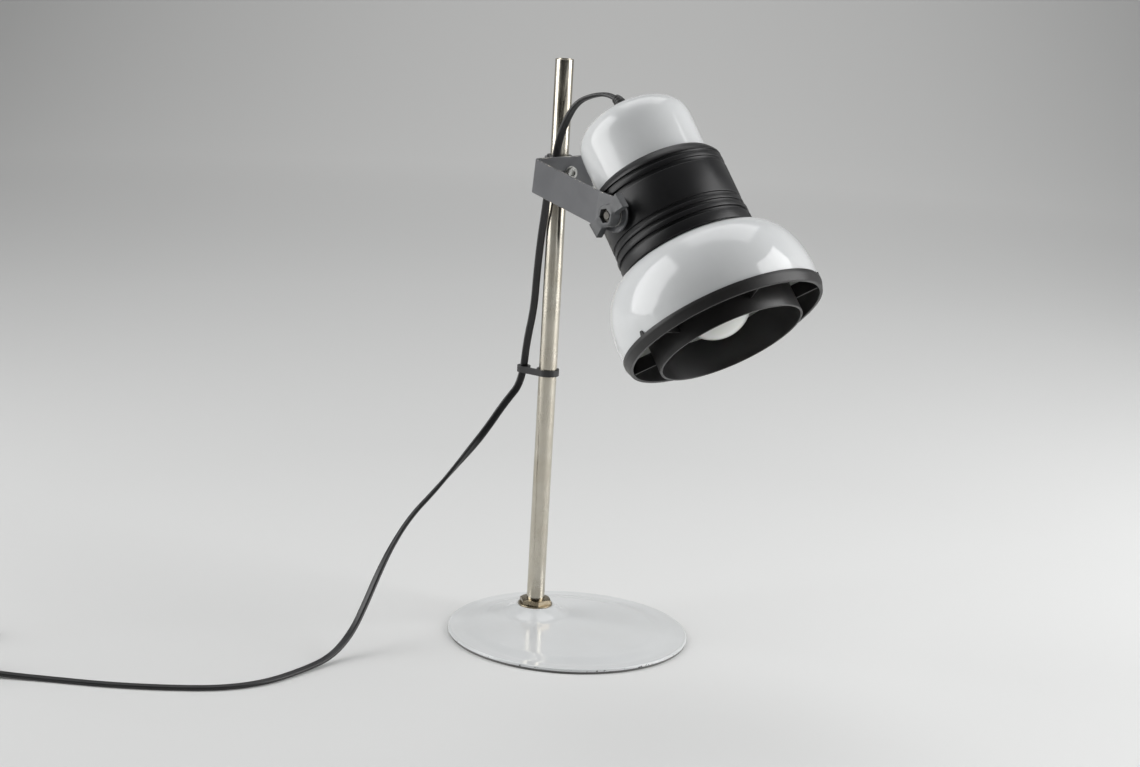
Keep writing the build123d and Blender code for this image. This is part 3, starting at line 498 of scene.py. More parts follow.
# ---- Centre band ----
# A thick black moulded sleeve that joins cap and bell, keeps the hot metal off the hands and carries the pivots.
# Grooves run round it in three groups, its front rim stands out a little, and the mould's parting line shows.
band_radius, band_inner = 54.0, 50.5
band_front, front_radius = 39.2, 54.8
groove_floor = 52.4
bulkhead_hole, bulkhead_rear, bulkhead_front = 20.06, 22, 24.5
pivot_hole = 3.1
parting = math.radians(58)
satin_black = finish(
    "band_black_plastic", (0.0110, 0.0110, 0.0120), (0.026, 0.025, 0.025), 0.35, 22.0, (0.30, 0.44),
    1400.0, 0.012, Specular_IOR_Level=0.38,
)[0]

corners = [(46.8, -32), (49.3, -30.5), (51.4, -28.1), (53.1, -25.7), (band_radius, -23.2)]
before = band_radius
for rear, front, after in (
    (-23.2, -20.2, band_radius), (-16.6, -12.8, band_radius), (15, 18.2, band_radius), (21.2, 24.4, front_radius),
    (28, 31, front_radius),
):
    corners += [(before, rear), (groove_floor, rear), (groove_floor, front), (after, front)]
    before = after
corners += [(front_radius, band_front), (band_inner, band_front), (band_inner, bulkhead_front)]
corners += [(bulkhead_hole, bulkhead_front), (bulkhead_hole, bulkhead_rear), (band_inner, bulkhead_rear)]
corners += [(band_inner, -22.5), (42, -22.5), (42, -25), (46.06, -25), (46.06, -32)]
corners = [c for k, c in enumerate(corners) if c != corners[k - 1]]
band_profile = eased(corners, 0.6, closed=True)
fine = np.linspace(-0.035, 0.035, 13)
columns = np.unique(np.round(np.concatenate([
    around(220), parting + fine, parting + np.pi + fine,
]) % (2 * np.pi), 5))
gap = np.minimum(np.abs(columns - parting), np.abs(columns - parting - np.pi))
outside = (band_profile[:, 0] > band_inner + 0.3)[:, None]
line_height = 0.16 * np.exp(-((gap * band_radius / 0.4) ** 2)) * outside
at_front = smooth(band_profile[:, 1], band_front - 1.6, band_front - 0.4)[:, None] * outside
line_height = line_height + 0.9 * np.exp(-(((columns - parting) * band_radius / 0.9) ** 2)) * at_front
grids = [turned(band_profile, head, columns, line_height)]
boss_foot, boss_top = band_inner - 0.4, 55
boss_profile = [(pivot_hole, boss_foot), (11, boss_foot), (11, boss_top), (pivot_hole, boss_top)]
boss_profile = eased(boss_profile, 0.5, closed=True)
for way in (-1, 1):
    sideways = way * across
    grids.append(turned(boss_profile, (pivot, np.array([ahead, np.cross(sideways, ahead), sideways])), 64))
band = skin("ribbed_band", grids, pivot, through=True)
fitted(band, "head", "band_plastic", "centre_band", material=satin_black)

# ---- Front shade ----
# The bell is spun from thin aluminium: a flange inside the band, a short ledge, then a bulge to its full width and a
# slight draw-in to the rim. Enamelled white outside. Inside it is coloured a pale grey, darker than the white, which
# is painted shade for the hollow of the bell.
shade_rim_radius, shade_rim_station = 80.4, 104.6
shade_wall = 1.0
flange_hole, flange_radius = 20.1, 50
ledge_radius, ledge_station = 53, 41.5
bulge_out, bulge_long, widest_station = 28.6, 47.5, 89
# Painted shade: the inside of the bell is a grey darker than the enamel, standing for the shade in its hollow.
inside_painted_shade = finish(
    "bell_inside_painted_shade", (0.56, 0.575, 0.55), (0.46, 0.46, 0.43), 0.4, 18.0, (0.35, 0.5), 500.0, 0.02,
)[0]
phi = np.linspace(-np.pi / 2, 0, 46)
bulge = np.stack([ledge_radius + bulge_out * np.cos(phi), widest_station + bulge_long * np.sin(phi)], -1)
start = [(flange_hole, bulkhead_front), (flange_radius, bulkhead_front)]
start = eased(start + [(flange_radius, ledge_station), (ledge_radius, ledge_station)], 1.2)
rim = np.stack([np.linspace(81.55, shade_rim_radius, 8), np.linspace(90.5, shade_rim_station, 8)], -1)
shade_profile = np.concatenate([start, bulge[1:], rim])
shade = skin("front_bell", [turned(shade_profile, head, 192)], pivot + 90 * ahead)
shade.data.materials.append(white_enamel)
shade.data.materials.append(inside_painted_shade)
walled(shade, shade_wall).modifiers["wall"].material_offset = 1
fitted(shade, "head", "shade_white", "front_shade")

# ---- Ring louvre ----
# One black moulding snapped over the bell's rim: an outer ring with a ledge, six thin ribs and an inner tube that
# hides the bulb from the side. Three small hooks on the ring grip the bell, and their tips lie on the white.
louvre_black = finish(
    "louvre_black_plastic", (0.0155, 0.0150, 0.0155), (0.045, 0.042, 0.040), 0.4, 20.0, (0.34, 0.5), 1100.0, 0.02,
)[0]
ring_radius, ring_bore = 82.2, 77.4
ring_rear, ring_front, wall_rear = 100.4, 109.4, 93.5
groove_out, groove_in, groove_end = 81.0, 78.9, 104.65
tube_radius, tube_bore = 59, 57.2
tube_rear, tube_front = 89.5, 118.7
rib_in, rib_out, rib_rear, rib_front = 58.5, 77.9, 97.6, 108.2
rib_half = 0.8
first_rib, hook_angles = -100, (-88, 20, 140)
ring = [(groove_out, ring_rear), (ring_radius, ring_rear), (ring_radius, ring_rear + 3), (80.0, ring_front)]
ring += [(ring_bore, ring_front), (ring_bore, wall_rear), (groove_in, wall_rear), (groove_in, groove_end)]
ring = eased(ring + [(groove_out, groove_end)], 0.5, closed=True, steps=5)
inner_tube = [(tube_radius, tube_rear), (tube_radius, tube_front), (tube_bore, tube_front), (tube_bore, tube_rear)]
inner_tube = eased(inner_tube, 0.45, closed=True)


def plate(outline, hub, low, high, bevel, place):
    """A flat plate from low to high along the place's third axis: an outline about hub, drawn in by bevel at both
    faces, which are fans to the hub."""
    origin, (u, v, w) = place
    outline = np.asarray(outline, float)
    hub = np.asarray(hub, float)
    away = outline - hub
    length = np.linalg.norm(away, axis=1, keepdims=True)
    drawn = outline - away / length * bevel
    rows = [(np.broadcast_to(hub, outline.shape), low), (drawn, low), (outline, low + bevel)]
    rows += [(outline, high - bevel), (drawn, high), (np.broadcast_to(hub, outline.shape), high)]
    return np.stack([origin + p[:, :1] * u + p[:, 1:] * v + level * w for p, level in rows])


def spoke(angle):
    """Outwards, forwards and sideways at an angle about the head's axis."""
    a = math.radians(angle - 90)
    outwards = math.cos(a) * head[1][0] + math.sin(a) * head[1][1]
    return outwards, ahead, np.cross(outwards, ahead)


grids = [turned(ring, head, 192), turned(inner_tube, head, 160)]
rib_outline = [(rib_in, rib_rear), (rib_out, rib_rear), (rib_out, rib_front), (rib_in, rib_front)]
rib_outline = eased(rib_outline, 0.3, closed=True, steps=3)
hook_outline = eased([(-2.4, 101.3), (-1.1, 96.95), (1.1, 96.95), (2.4, 101.3)], 0.6, closed=True, steps=3)
louvre = skin("ring_louvre", grids, pivot, through=True)
parts = []
for k in range(6):
    place = (pivot, np.array(spoke(first_rib + 60 * k)))
    parts.append(plate(rib_outline, (68, 103), -rib_half, rib_half, 0.25, place))
for angle in hook_angles:
    outwards, forwards, sideways = spoke(angle)
    place = (pivot, np.array([sideways, forwards, outwards]))
    parts.append(plate(hook_outline, (0, 99.5), ring_radius - 0.95, ring_radius - 0.01, 0.2, place))
vanes = skin("louvre_ribs_and_hooks", parts, pivot)
for piece in (louvre, vanes):
    fitted(piece, "head", "louvre_plastic", "louvre", material=louvre_black)

# ---- Lampholder and bulb ----
# A black moulded holder is clamped through the band's bulkhead by a ring, with brass contacts inside. In it sits a
# round bulb of opal glass with a nickelled screw cap. It is switched off, so the glass only catches the light.
holder_black = finish(
    "holder_plastic", (0.022, 0.021, 0.020), (0.05, 0.045, 0.04), 0.4, 40.0, (0.32, 0.5), 1000.0, 0.02,
)[0]
brass = plated("contact_brass", (0.60, 0.44, 0.18), (0.30, 0.19, 0.07), 0.6, (0.22, 0.4), 0.03)
opal = finish(
    "opal_glass", (0.83, 0.83, 0.80), (0.74, 0.73, 0.69), 0.4, 24.0, (0.16, 0.26), 300.0, 0.004,
    Subsurface_Weight=0.15, Subsurface_Scale=0.004, Coat_Weight=0.3, Coat_Roughness=0.05,
)[0]
painted(holder_black, "lampholder_shell", "lampholder_ring")
painted(bush_black, "lampholder_insert")
painted(brass, "lampholder_thread", "centre_contact")
painted(zinc, "threaded_tube", "cap_nut")

bulb_radius, bulb_centre = 30.0, 81.6
bulb_cap_rear = 5.2
thread_radius, thread_depth, thread_pitch = 13.05, 0.95, 3.62
phi = np.linspace(np.pi / 2, -np.radians(38), 40)
globe = np.stack([bulb_radius * np.cos(phi), bulb_centre + bulb_radius * np.sin(phi)], -1)
neck = eased([globe[-1], (15.2, 44.0), (13.6, 32.5), (12.35, 31.0), (12.35, 23.2)], 9.0, steps=12)
bulb_profile = np.concatenate([globe, neck[1:], [(0, 23.2)]])
bulb = skin("opal_bulb", [turned(bulb_profile, head)], pivot + 80 * ahead)
fitted(bulb, "head", "bulb_frosted", "bulb_glass", material=opal)

turn = around(72)
along_cap = np.linspace(bulb_cap_rear + 3.2, bulb_cap_rear + 22, 70)
wave = 0.5 - 0.5 * np.cos(2 * np.pi * along_cap[:, None] / thread_pitch - turn)
thread = np.stack([np.full(len(along_cap), thread_radius), along_cap], -1)
tip = np.array([(0, 4.2), (3.6, 4.25), (4, 4.6), (4, 5.3), (6, 5.6), (12.2, bulb_cap_rear + 2.6)])
collar = [(13.0, 22.6), (thread_radius, 25.6), (12.8, 26), (0, 26)]
collar = np.array([(r, bulb_cap_rear + on) for r, on in collar])
dent = [np.zeros((len(tip), len(turn))), -thread_depth * wave, np.zeros((len(collar), len(turn)))]
cap_grid = turned(np.concatenate([tip, thread, collar]), head, turn, np.concatenate(dent))
screw_cap = skin("bulb_screw_cap", [cap_grid], pivot + 18 * ahead)
fitted(screw_cap, "head", "bulb_cap_metal", "bulb_cap", material=zinc)

# ---- Pivots ----
# A bolt stands out of the band on each side, through a plastic friction washer, the yoke's leg and a steel washer.
# On the far side a plain hexagon nut locks it. On the near side the wing nut is turned by hand.
dull_steel = plated("dull_steel", (0.15, 0.145, 0.135), (0.07, 0.065, 0.055), 0.6, (0.5, 0.68), 0.03)
dressed("pivot_bolts", "pivot_bolt_pair", "head", "screw_steel", dull_steel, 0.15)
dressed("friction_washers", "pivot_friction_washers", "head", "bush_plastic", bush_black, 0.2)
dressed("outer_washers", "pivot_outer_washers", "head", "screw_steel", zinc, 0.15)
dressed("far_pivot_nut", "far_pivot_hexagon", "head", "screw_steel", zinc, 0.25)

# ---- Wing nut ----
# A grey moulded nut with two wings that widen towards their ends and run into the hub in hollow fillets. A steel
# nut is pressed into the bottom of its hexagonal pocket, and the bolt's end shows there.
wing_low, wing_high = 60.4, 69.0
wing_up = math.radians(46)
wing_side, wing_reach = 4.5, 20.0
flare_from, flare_slope, flare_level = 11, 0.2267, 2.007
pocket_floor, pocket_half = 61.2, 5.1
wing_x = np.array([0, -math.cos(wing_up), math.sin(wing_up)])
wing_place = (pivot, np.array([wing_x, np.cross(-across, wing_x), -across]))
wing_grey = finish(
    "wing_grey_plastic", (0.094, 0.097, 0.100), (0.13, 0.13, 0.134), 0.4, 90.0, (0.32, 0.45), 1800.0, 0.015,
)[0]


def lower(a, b, soft):
    """The lower of two distances, rounded off where they differ by less than soft."""
    return -higher(-a, -b, soft)


def wing_outline(turn, hub, narrower):
    """Distance from the pivot to the outline at each angle: the hub's circle or the wing, whichever reaches farther,
    with a fillet between them. A wing's side runs level up to flare_from. Then its half width is flare_level plus
    flare_slope times the way out."""
    s, c = np.abs(np.sin(turn)) + 1e-4, np.abs(np.cos(turn)) + 1e-4
    level = wing_side / s
    flare = flare_level / np.maximum(s - flare_slope * c, 1e-3)
    wing = lower(np.where(level * c < flare_from, level, flare), wing_reach / c, 1.6) - narrower
    return higher(np.full(len(turn), hub), np.minimum(wing, 30), 2.6)


turn = around(720)
unit = np.stack([np.cos(turn), np.sin(turn)], -1)
pocket = pocket_half / np.cos((turn + np.pi / 6) % (np.pi / 3) - np.pi / 6)


def wing_ring(radius, height):
    """One closed row of the nut: a distance and a height for each angle."""
    flat = np.broadcast_to(radius, turn.shape)[:, None] * unit
    origin, (u, v, w) = wing_place
    return origin + flat[:, :1] * u + flat[:, 1:] * v + np.broadcast_to(height, turn.shape)[:, None] * w


def wing_floor(radius):
    return wing_low + 1.1 * smooth(radius, 7.8, 10.0)


def wing_face(radius):
    return wing_high - 1.1 * smooth(radius, 7.0, 10.5)


foot, top = wing_outline(turn, 9.2, 0), wing_outline(turn, 8.5, 0.35)
floor, face, pocket_mouth = wing_floor(foot), wing_face(top), pocket + 0.3
rows = [
    (pivot_hole, wing_low), (6.5, wing_low), (foot - 0.5, floor), (foot, floor + 0.5),
    ((foot + top) / 2, (floor + face) / 2), (top, face - 0.7), (top - 0.2, face - 0.2), (top - 0.7, face),
]
for share in (0.8, 0.6, 0.4, 0.25, 0.12):
    radius = pocket_mouth + share * (top - 0.7 - pocket - 0.3)
    rows.append((radius, wing_face(radius)))
rows += [(pocket_mouth, wing_high), (pocket, wing_high - 0.3), (pocket, pocket_floor), (pivot_hole, pocket_floor)]
wing_grid = np.stack([wing_ring(radius, height) for radius, height in rows])
wing_nut = skin("wing_nut_moulding", [wing_grid], pivot, through=True)
fitted(wing_nut, "wing_nut", "wing_plastic", "wing_nut", material=wing_grey)
dressed("wing_insert", "wing_nut_steel_insert", "wing_nut", "screw_steel", dull_steel, 0.2)

# ---- Cord gland ----
# A black rubber gland screwed over the tube's end at the crown: a collar, and a tapered sleeve with rings that
# bends with the cord and takes the strain off it.
gland_rubber = finish("gland_rubber", 0.020, (0.05, 0.048, 0.045), 0.4, 60.0, (0.4, 0.55), 1200.0, 0.02)[0]
apex, collar_long, sleeve_long = 90.6, 5.0, 9.0
bend_radius = sleeve_long / math.radians(32)
u = np.array([-0.5, -0.5, 0.05, 0.15, 0.6, 2.9, 3.3, 3.4, 3.5, 4.7, 5.0, 5.0])
r = np.array([0, 5.0, 7.0, 7.4, 7.5, 7.5, 7.3, 7.0, 6.5, 6.45, 6.1, 5.4])
v = np.linspace(0, 1, 64)[1:]
grooves = 0.45 * smooth(np.cos(2 * np.pi * v * 4), 0.1, 0.8) * (1 - smooth(v, 0.86, 0.92))
u = np.concatenate([u, collar_long + sleeve_long * v, [collar_long + sleeve_long]])
r = np.concatenate([r, 5.4 - 1.7 * v - grooves - 0.5 * smooth(v, 0.95, 1.0), [0]])
bent = np.maximum(u - collar_long, 0) / bend_radius
rise = np.cross(across, -ahead)
centre = pivot - ahead * (apex + np.minimum(u, collar_long))[:, None]
centre = centre - ahead * (bend_radius * np.sin(bent))[:, None] - rise * (bend_radius * (1 - np.cos(bent)))[:, None]
normal = np.cos(bent)[:, None] * rise - np.sin(bent)[:, None] * ahead
turn = around(56)
circle = np.cos(turn)[:, None] * across + np.sin(turn)[:, None] * normal[:, None]
gland = skin("gland_with_sleeve", [centre[:, None] + r[:, None, None] * circle], centre[30])
fitted(gland, "head", "gland_plastic", "cord_gland", material=gland_rubber)

# ---- Flex ----
# Flat twin-core flex, 6.2 mm by 3.6, black and slightly shiny, with a shallow valley down each flat side. It comes
# out of the gland, arches over behind the web, goes down beside the tube to the clip and on to the floor.
flex_wide, flex_thick = 6.2, 3.6


def flex_black():
    """Black plastic sheath: faint marks across it every few millimetres, from its own UV map, whose U runs along the
    flex in metres."""
    looks = ("flex_black", (0.018, 0.018, 0.019), 0.04, 0.4, 40.0, (0.30, 0.42), 1500.0)
    material, tree, body = finish(*looks)[:3]
    bumped(tree, body, noise(tree, put(tree, "TexCoord").outputs["UV"], 160.0, 2.0), 0.05)
    return material


flex_finish = flex_black()


def spline_line(points):
    """Points in millimetres along the route's open NURBS spline, from the curve's own mesh."""
    curve = bpy.data.curves.new("route", "CURVE")
    curve.dimensions = "3D"
    spline = curve.splines.new("NURBS")
    spline.points.add(len(points) - 1)
    route = np.column_stack([np.asarray(points, float) * mm, np.ones(len(points))])
    spline.points.foreach_set("co", route.ravel())
    spline.order_u = 3
    spline.use_endpoint_u = True
    spline.resolution_u = 16
    holder = bpy.data.objects.new("route", curve)
    mesh = bpy.data.meshes.new_from_object(holder)
    line = np.empty(len(mesh.vertices) * 3)
    mesh.vertices.foreach_get("co", line)
    bpy.data.objects.remove(holder)
    bpy.data.curves.remove(curve)
    bpy.data.meshes.remove(mesh)
    return line.reshape(-1, 3) / mm


def flex(name, points, wide, spacing=1.6):
    """A flat flex along a route: a superellipse of the power 0.75 with a valley in both flat sides. wide lists
    (share of the way, direction of the flat's width), and between them the direction passes evenly. Returns the
    piece, and its centre line and length in metres."""
    raw = spline_line(points)
    raw = raw[np.concatenate([[True], np.linalg.norm(np.diff(raw, axis=0), axis=1) > 1e-4])]
    run = np.concatenate([[0], np.cumsum(np.linalg.norm(np.diff(raw, axis=0), axis=1))])
    at = np.linspace(0, run[-1], max(int(run[-1] / spacing), 12))
    line = np.stack([np.interp(at, run, raw[:, k]) for k in range(3)], -1)
    ahead_of = np.gradient(line, at, axis=0)
    ahead_of /= np.linalg.norm(ahead_of, axis=1, keepdims=True)
    share, aim = np.array([w[0] for w in wide]), np.array([w[1] for w in wide], float)
    aim /= np.linalg.norm(aim, axis=1, keepdims=True)
    side = np.stack([np.interp(at / run[-1], share, aim[:, k]) for k in range(3)], -1)
    side -= np.sum(side * ahead_of, axis=1, keepdims=True) * ahead_of
    side /= np.linalg.norm(side, axis=1, keepdims=True)
    flat = np.cross(ahead_of, side)
    b = around(28)
    a = flex_wide / 2 * np.sign(np.cos(b)) * np.abs(np.cos(b)) ** 0.75
    h = flex_thick / 2 * np.sign(np.sin(b)) * np.abs(np.sin(b)) ** 0.75 * (1 - 0.2 * np.exp(-((a / 0.75) ** 2)))
    grid = line[:, None] + a[:, None] * side[:, None] + h[:, None] * flat[:, None]
    ends = [np.broadcast_to(line[k], (1, len(b), 3)) for k in (0, -1)]
    piece = skin(name, [np.concatenate([ends[0], grid, ends[1]])], line.mean(axis=0), crease=60)
    near = np.empty(len(piece.data.vertices) * 3)
    piece.data.vertices.foreach_get("co", near)
    corner = np.empty(len(piece.data.loops), int)
    piece.data.loops.foreach_get("vertex_index", corner)
    blocks = np.array_split(near.reshape(-1, 3)[:, None] / mm, 60)
    way = np.concatenate([at[np.argmin(np.linalg.norm(block - line, axis=2), axis=1)] for block in blocks])
    layer = piece.data.uv_layers.new(name="along")
    layer.data.foreach_set("uv", np.column_stack([way[corner] * mm, np.zeros(len(corner))]).ravel())
    piece.data.materials.append(flex_finish)
    return piece, line * mm, run[-1] * mm


def laid(piece, line, length, start, far_end, body, *nodes, **facts):
    """The flex is fitted to its body, or to none yet, and its CAD nodes are hidden. start, a point in millimetres, is
    not used.
    """
    fitted(piece, body, "cord_black", *nodes)


def between(name, node, points, wide, spacing=1.6):
    """A flex that runs between two bodies: it is fitted to neither, and its placement is baked into its mesh."""
    piece, line, length = flex(name, points, wide, spacing)
    laid(piece, line, length, points[0], "object", None, node)
    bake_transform(piece)


facing = (0.74, -0.68, 0)
edgewise = (0.68, 0.73, 0)
clamp_top, clamp_foot, clip_top = (-12.5, 31.4, 403), (-13.2, 39.6, 364.5), (-8.7, 61.7, 225)
sleeve_end = centre[-1]
sleeve_way = np.cross(normal[-1], across)
sleeve_way = sleeve_way if sleeve_way[1] > 0 else -sleeve_way
head_route = [
    sleeve_end, sleeve_end + 9 * sleeve_way, (-4, 2, 450.5), (-9, 14, 444), (-11, 23, 430), (-11.96, 30.33, 411.92),
    clamp_top,
]
turn_route = [clamp_top, (-13.04, 32.47, 394.08), (-15.3, 37, 381), (-14.07, 37.68, 373.25), clamp_foot]
drop_route = [
    clamp_foot, (-12.03, 42.17, 352.84), (-9, 49, 329), (-7, 54, 299), (-6.4, 56, 268), (-8, 61.14, 238.97), clip_top,
]
loop_turns = [(0, (1, 0, 0)), (0.45, (1, -0.1, 0)), (1, facing)]
between("flex_head_loop", "cord_head_loop", head_route, loop_turns, 1.0)
between("flex_past_clamp", "cord_yoke_turn", turn_route, [(0, facing), (1, facing)], 1.0)
between("flex_beside_pole", "cord_drop", drop_route, [(0, facing), (1, facing)])

# ---- Cable clip ----
# A black moulded clip with a ring that grips the tube and a wider ring that the flex is pushed into.
clip_black = finish("clip_plastic", (0.022, 0.022, 0.023), 0.05, 0.4, 60.0, (0.34, 0.48), 1500.0, 0.01)[0]
dressed("cable_clip", "pole_cable_clip", "stand", "clip_plastic", clip_black, 0.35)

# ---- Flex on the floor, switch and coil ----
# Past the clip the flex swings out in a long curve, turns over and lies flat on the floor. Out of view it has a
# rocker switch, and the rest is wound on its edge into a coil with a tie, the plug beside it.
out = np.array([-0.68011, 0.73312, 0])
switch_across = (0.733, 0.68, 0)
switch_in = np.array([-453.96, 177.13, 4.1])
switch_out = switch_in + 60 * out
floor_route = [
    clip_top, (-9.75, 62.54, 204.04), (-23, 67, 188), (-42, 71, 162), (-63, 75.5, 139), (-86, 79, 116),
    (-107, 81.5, 98), (-127, 80, 76), (-145, 74, 56), (-162, 67, 36), (-181, 59, 17), (-207, 50.5, 4.2),
    (-240, 43.5, 1.9), (-280, 37, 1.85), (-316, 46, 1.85), (-352, 72, 1.85), (-384, 101, 1.85), (-412, 133, 1.9),
    (-433, 155, 2.4), switch_in - 8 * out, switch_in,
]
flex_turns = [
    (0, facing), (0.10, facing), (0.22, edgewise), (0.30, (0.6, 0.75, 0.25)), (0.38, (0.25, 0.85, 0.5)),
    (0.47, (0.05, 1, 0.2)), (0.55, (0, 1, 0)), (0.7, (0.2, 1, 0)), (1, switch_across),
]
floor_flex, line, length = flex("flex_to_switch", floor_route, flex_turns)
switch_black = finish("switch_plastic", (0.024, 0.024, 0.025), 0.05, 0.4, 50.0, (0.34, 0.48), 1400.0, 0.02)[0]
rocker_grey = finish("rocker_plastic", (0.05, 0.05, 0.052), 0.09, 0.4, 80.0, (0.25, 0.4), 1400.0, 0.01)[0]
switch_base = dressed("switch_base", "switch_lower_half", "stand", "switch_plastic", switch_black, 0.8)
switch_cover = dressed("switch_cover", "switch_upper_half", "stand", "switch_plastic", switch_black, 0.4)
dressed("switch_rocker", "switch_rocker_cap", "switch_rocker", "rocker_plastic", rocker_grey, 0.5)
painted(brass, "switch_contacts")
halves = [switch_base, switch_cover]
laid(floor_flex, line, length, clip_top, "fitting", "stand", "cord_floor", with_pieces=halves)

coil_centre = np.array([-500.96, 286.31])
coil_outer, coil_inner = 39.8, 27.0
start_angle = -2.39369
rest_height, climb_height = 4.1, 6.4
angle = np.linspace(0, 9 * np.pi, 64)
inward, climb = 4 * np.pi, np.pi
shrink = coil_outer - coil_inner
radius = np.where(angle <= inward, coil_outer - shrink * angle / inward, coil_inner)
radius = np.where(angle > inward + climb, coil_inner + shrink * (angle - inward - climb) / inward, radius)
height = rest_height + climb_height * smooth(angle, inward, inward + climb)
place = start_angle - angle
coil = np.stack([coil_centre[0] + radius * np.cos(place), coil_centre[1] + radius * np.sin(place), height], -1)
lead_way = np.array([-0.66, 0.75, 0])
last_way = np.array([0.70, -0.71, 0]) / math.hypot(0.70, 0.71)
coil_end = np.array([-468.27, 309.81, 10.5])
plug_in = np.array([-440.18, 281.34, 7.0])
lead = np.array([-530.13, 259.24, 4.1]) - 5 * lead_way
coil_route = np.concatenate([
    [switch_out, switch_out + 15 * out, lead - 15 * lead_way, lead], coil,
    [coil_end, coil_end + 13 * last_way, plug_in - 13 * last_way, plug_in],
])
upwards, tail_across = (0, 0, 1), (0.71, 0.70, 0)
coil_flex, line, length = flex("flex_coil_and_tail", coil_route, [
    (0, switch_across), (0.015, switch_across), (0.045, upwards), (0.96, upwards), (0.988, tail_across),
    (1, tail_across),
])
plug_black = finish("plug_plastic", 0.022, 0.05, 0.4, 50.0, (0.36, 0.5), 1300.0, 0.02)[0]
plug = dressed("plug_body", "plug_moulding", "stand", "plug_plastic", plug_black, 1.6)
pins = dressed("plug_pins", "plug_pin_pair", "stand", "pin_metal", zinc, 0.7)
tie = dressed("cord_tie", "coil_tie", "stand", "tie_plastic", clip_black, 0.3)
nodes = ("cord_switch_lead", "cord_coil", "cord_tail")
laid(coil_flex, line, length, switch_out, "plug", "stand", *nodes, lay="coiled", with_pieces=[plug, pins, tie])
painted(flex_finish, "inner_flex")
painted(bush_black, "flex_cores")

# ---- Studio ----
# Not part of the lamp: a pale round sweep of paper, two tall softboxes at its sides, a soft one overhead, and a
# dark cloth behind the camera that only shows in the lamp's gloss.
toward_camera = np.array([-0.6756, -0.7373, 0])
camera_right = np.array([0.7373, -0.6756, 0])
floor_flat, sweep_radius, sweep_rise, sweep_top = 2500.0, 4300.0, 1500, 2600
cloth_distance = 2700


def studio_surface(name, grid, material, seen_from):
    piece = skin(name, [grid], seen_from, crease=80)
    piece.data.materials.append(material)
    return piece


def paper():
    """Grey-white paper, not seen from below, with painted shade in its colour: darker the farther it is from the lamp,
    and a little darker to the left. It glows for the camera and in reflections, more the farther it is from the lamp
    and less towards its sides, as if lit by a lamp of its own: this glow is painted light."""
    material, tree, body = coat("sweep_paper")
    place = put(tree, "TexCoord").outputs["Object"]
    distance = put(tree, "VectorMath", {0: place}, operation="LENGTH").outputs["Value"]
    # Painted shade: the paper's colour grows darker the farther it is from the lamp.
    distance_shade = put(tree, "ValToRGB", {0: ranged(tree, distance, 0.0, 5.0)})
    stops = [(0.0, 0.78), (0.12, 0.78), (0.3, 0.76), (0.55, 0.6), (0.8, 0.45), (1.0, 0.4)]
    ramp = distance_shade.color_ramp
    while len(ramp.elements) < len(stops):
        ramp.elements.new(0.5)
    for element, (where, value) in zip(ramp.elements, stops):
        element.position = where
        element.color = (value, value * 1.004, value * 0.995, 1)
    aside = put(tree, "VectorMath", {0: place, 1: tuple(camera_right)}, operation="DOT_PRODUCT").outputs["Value"]
    # Painted shade: the paper is darker towards the camera's left.
    side_shade = ranged(tree, aside, -0.7, 0.7, 0.80, 1.06)
    side_shaded_colour = put(tree, "VectorMath", {0: distance_shade.outputs[0], "Scale": side_shade}, operation="SCALE")
    # Painted light: a glow that grows with distance from the lamp and fades towards the sides.
    glow = ranged(tree, distance, 0.6, 2.7, 0.085, 0.35)
    middle = ranged(tree, reckon(tree, "MULTIPLY", aside, aside), 0.0, 1.8, 1.0, 0.5)
    seen = put(tree, "LightPath").outputs
    by_either = reckon(tree, "MAXIMUM", seen["Is Camera Ray"], seen["Is Glossy Ray"])
    by_any = reckon(tree, "MAXIMUM", by_either, seen["Is Transmission Ray"])
    strength = reckon(tree, "MULTIPLY", reckon(tree, "MULTIPLY", glow, middle), by_any)
    feed(tree, body, {
        "Base Color": side_shaded_colour.outputs[0], "Emission Color": (1, 1, 0.985, 1), "Emission Strength": strength,
        "Roughness": 0.85, "Specular IOR Level": 0.2,
    })
    below = put(tree, "NewGeometry").outputs["Backfacing"]
    both = put(tree, "MixShader", {0: below, 1: body.outputs[0], 2: put(tree, "BsdfTransparent").outputs[0]})
    feed(tree, tree.nodes["Material Output"], {"Surface": both.outputs[0]})
    return material


turn = around(128)
bend = np.linspace(0, np.pi / 2, 24)
profile = np.concatenate([
    [(0, 0), (400, 0), (1200, 0)],
    np.stack([floor_flat + (sweep_radius - floor_flat) * np.sin(bend), sweep_rise * (1 - np.cos(bend))], -1),
    [(sweep_radius, sweep_top)],
])
level = (np.zeros(3), np.eye(3))
studio_surface("paper_sweep", turned(profile, level, turn), paper(), (0, 0, -9000))

cloth, tree, weave = coat("dark_cloth")
feed(tree, weave, {"Base Color": tint(0.02), "Roughness": 0.9})
side = np.linspace(-np.radians(48), np.radians(48), 40)
curve = cloth_distance * (np.cos(side)[:, None] * toward_camera + np.sin(side)[:, None] * camera_right)
panel = np.stack([curve + (0, 0, z) for z in (40, 900, 1700, 2500)])
flag = studio_surface("dark_cloth_panel", panel, cloth, (0, 0, 0))
flag.visible_camera = False
flag.visible_shadow = False


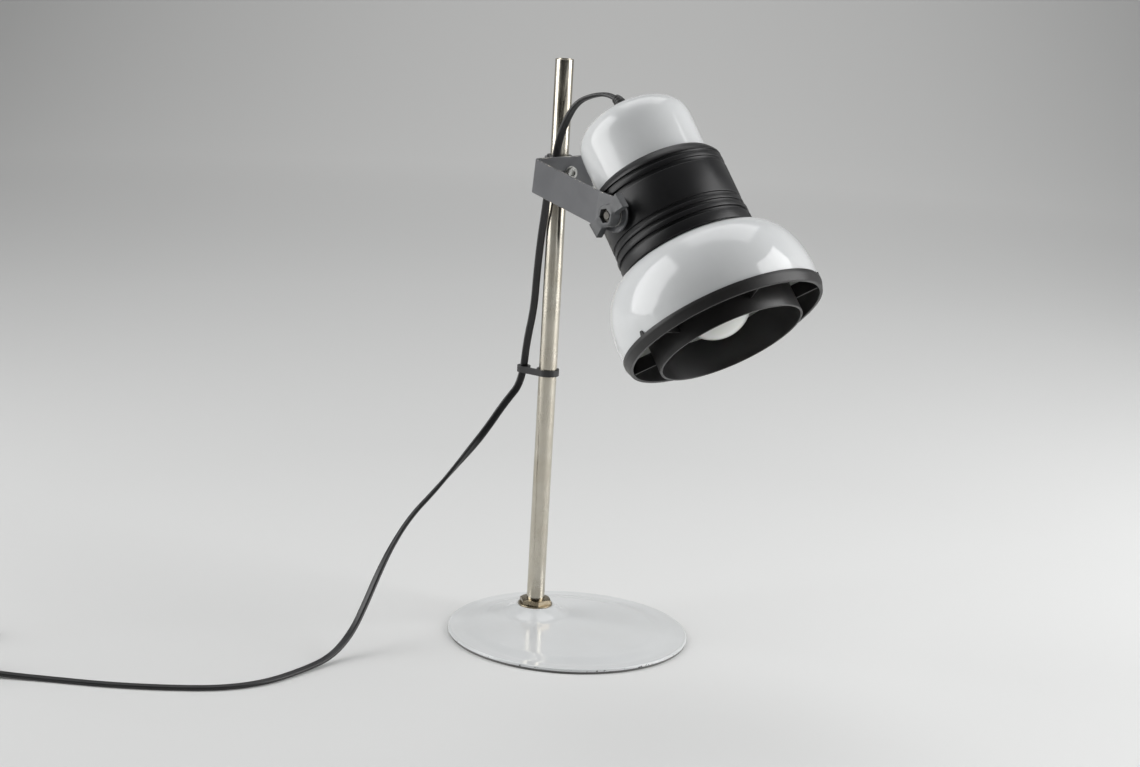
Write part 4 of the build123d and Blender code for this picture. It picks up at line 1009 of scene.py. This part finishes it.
def softbox(name, direction, distance, height, width, tall, watts):
    """An area lamp that looks at the lamp's middle. Gloss shows it, and the camera doesn't see it."""
    lamp = bpy.data.lights.new(name, "AREA")
    lamp.shape = "RECTANGLE"
    lamp.size, lamp.size_y = width, tall
    lamp.energy = watts
    holder = added(name, lamp)
    place = Vector(np.asarray(direction) * distance) + Vector((0, 0, height))
    holder.location = place
    holder.rotation_euler = (Vector((0, -0.03, 0.28)) - place).to_track_quat("-Z", "Y").to_euler()
    holder.visible_camera = False


def sideways(degrees):
    """A level direction, in degrees to the right of the camera's."""
    a = math.radians(degrees)
    return math.cos(a) * toward_camera + math.sin(a) * camera_right


for name, degrees, watts in (("softbox_left", -84, 22), ("softbox_right", 84, 24)):
    softbox(name, sideways(degrees), 1.5, 0.85, 1.15, 1.7, watts)
softbox("softbox_top", sideways(180), 0.7, 2.1, 1.8, 1.4, 12)
world = bpy.data.worlds.new("studio_air")
bpy.context.scene.world = world
world.use_nodes = True
air = world.node_tree.nodes["Background"]
feed(world.node_tree, air, {"Color": (0.82, 0.84, 0.86, 1), "Strength": 0.15})

# ---- Camera ----
# It stands where the photograph was taken from: a little above the head, looking 13 degrees down, rolled 3 degrees.
camera = bpy.data.cameras.new("camera")
camera.lens = 75.789
camera.sensor_width = 36.0
camera.sensor_fit = "HORIZONTAL"
camera.clip_start, camera.clip_end = 0.05, 30
pitch, roll = math.radians(13.139), math.radians(3.244)
level_ahead, right = Vector(-toward_camera), Vector(camera_right)
look = level_ahead * math.cos(pitch) - Vector((0, 0, math.sin(pitch)))
up = level_ahead * math.sin(pitch) + Vector((0, 0, math.cos(pitch)))
camera_x = right * math.cos(roll) + up * math.sin(roll)
camera_y = up * math.cos(roll) - right * math.sin(roll)
holder = added("camera", camera)
turned_to = Matrix((camera_x, camera_y, -look)).transposed().to_4x4()
holder.matrix_world = Matrix.Translation((-1.2974, -1.4020, 0.6603)) @ turned_to
bpy.context.scene.camera = holder
bpy.context.scene.view_settings.view_transform = "Standard"
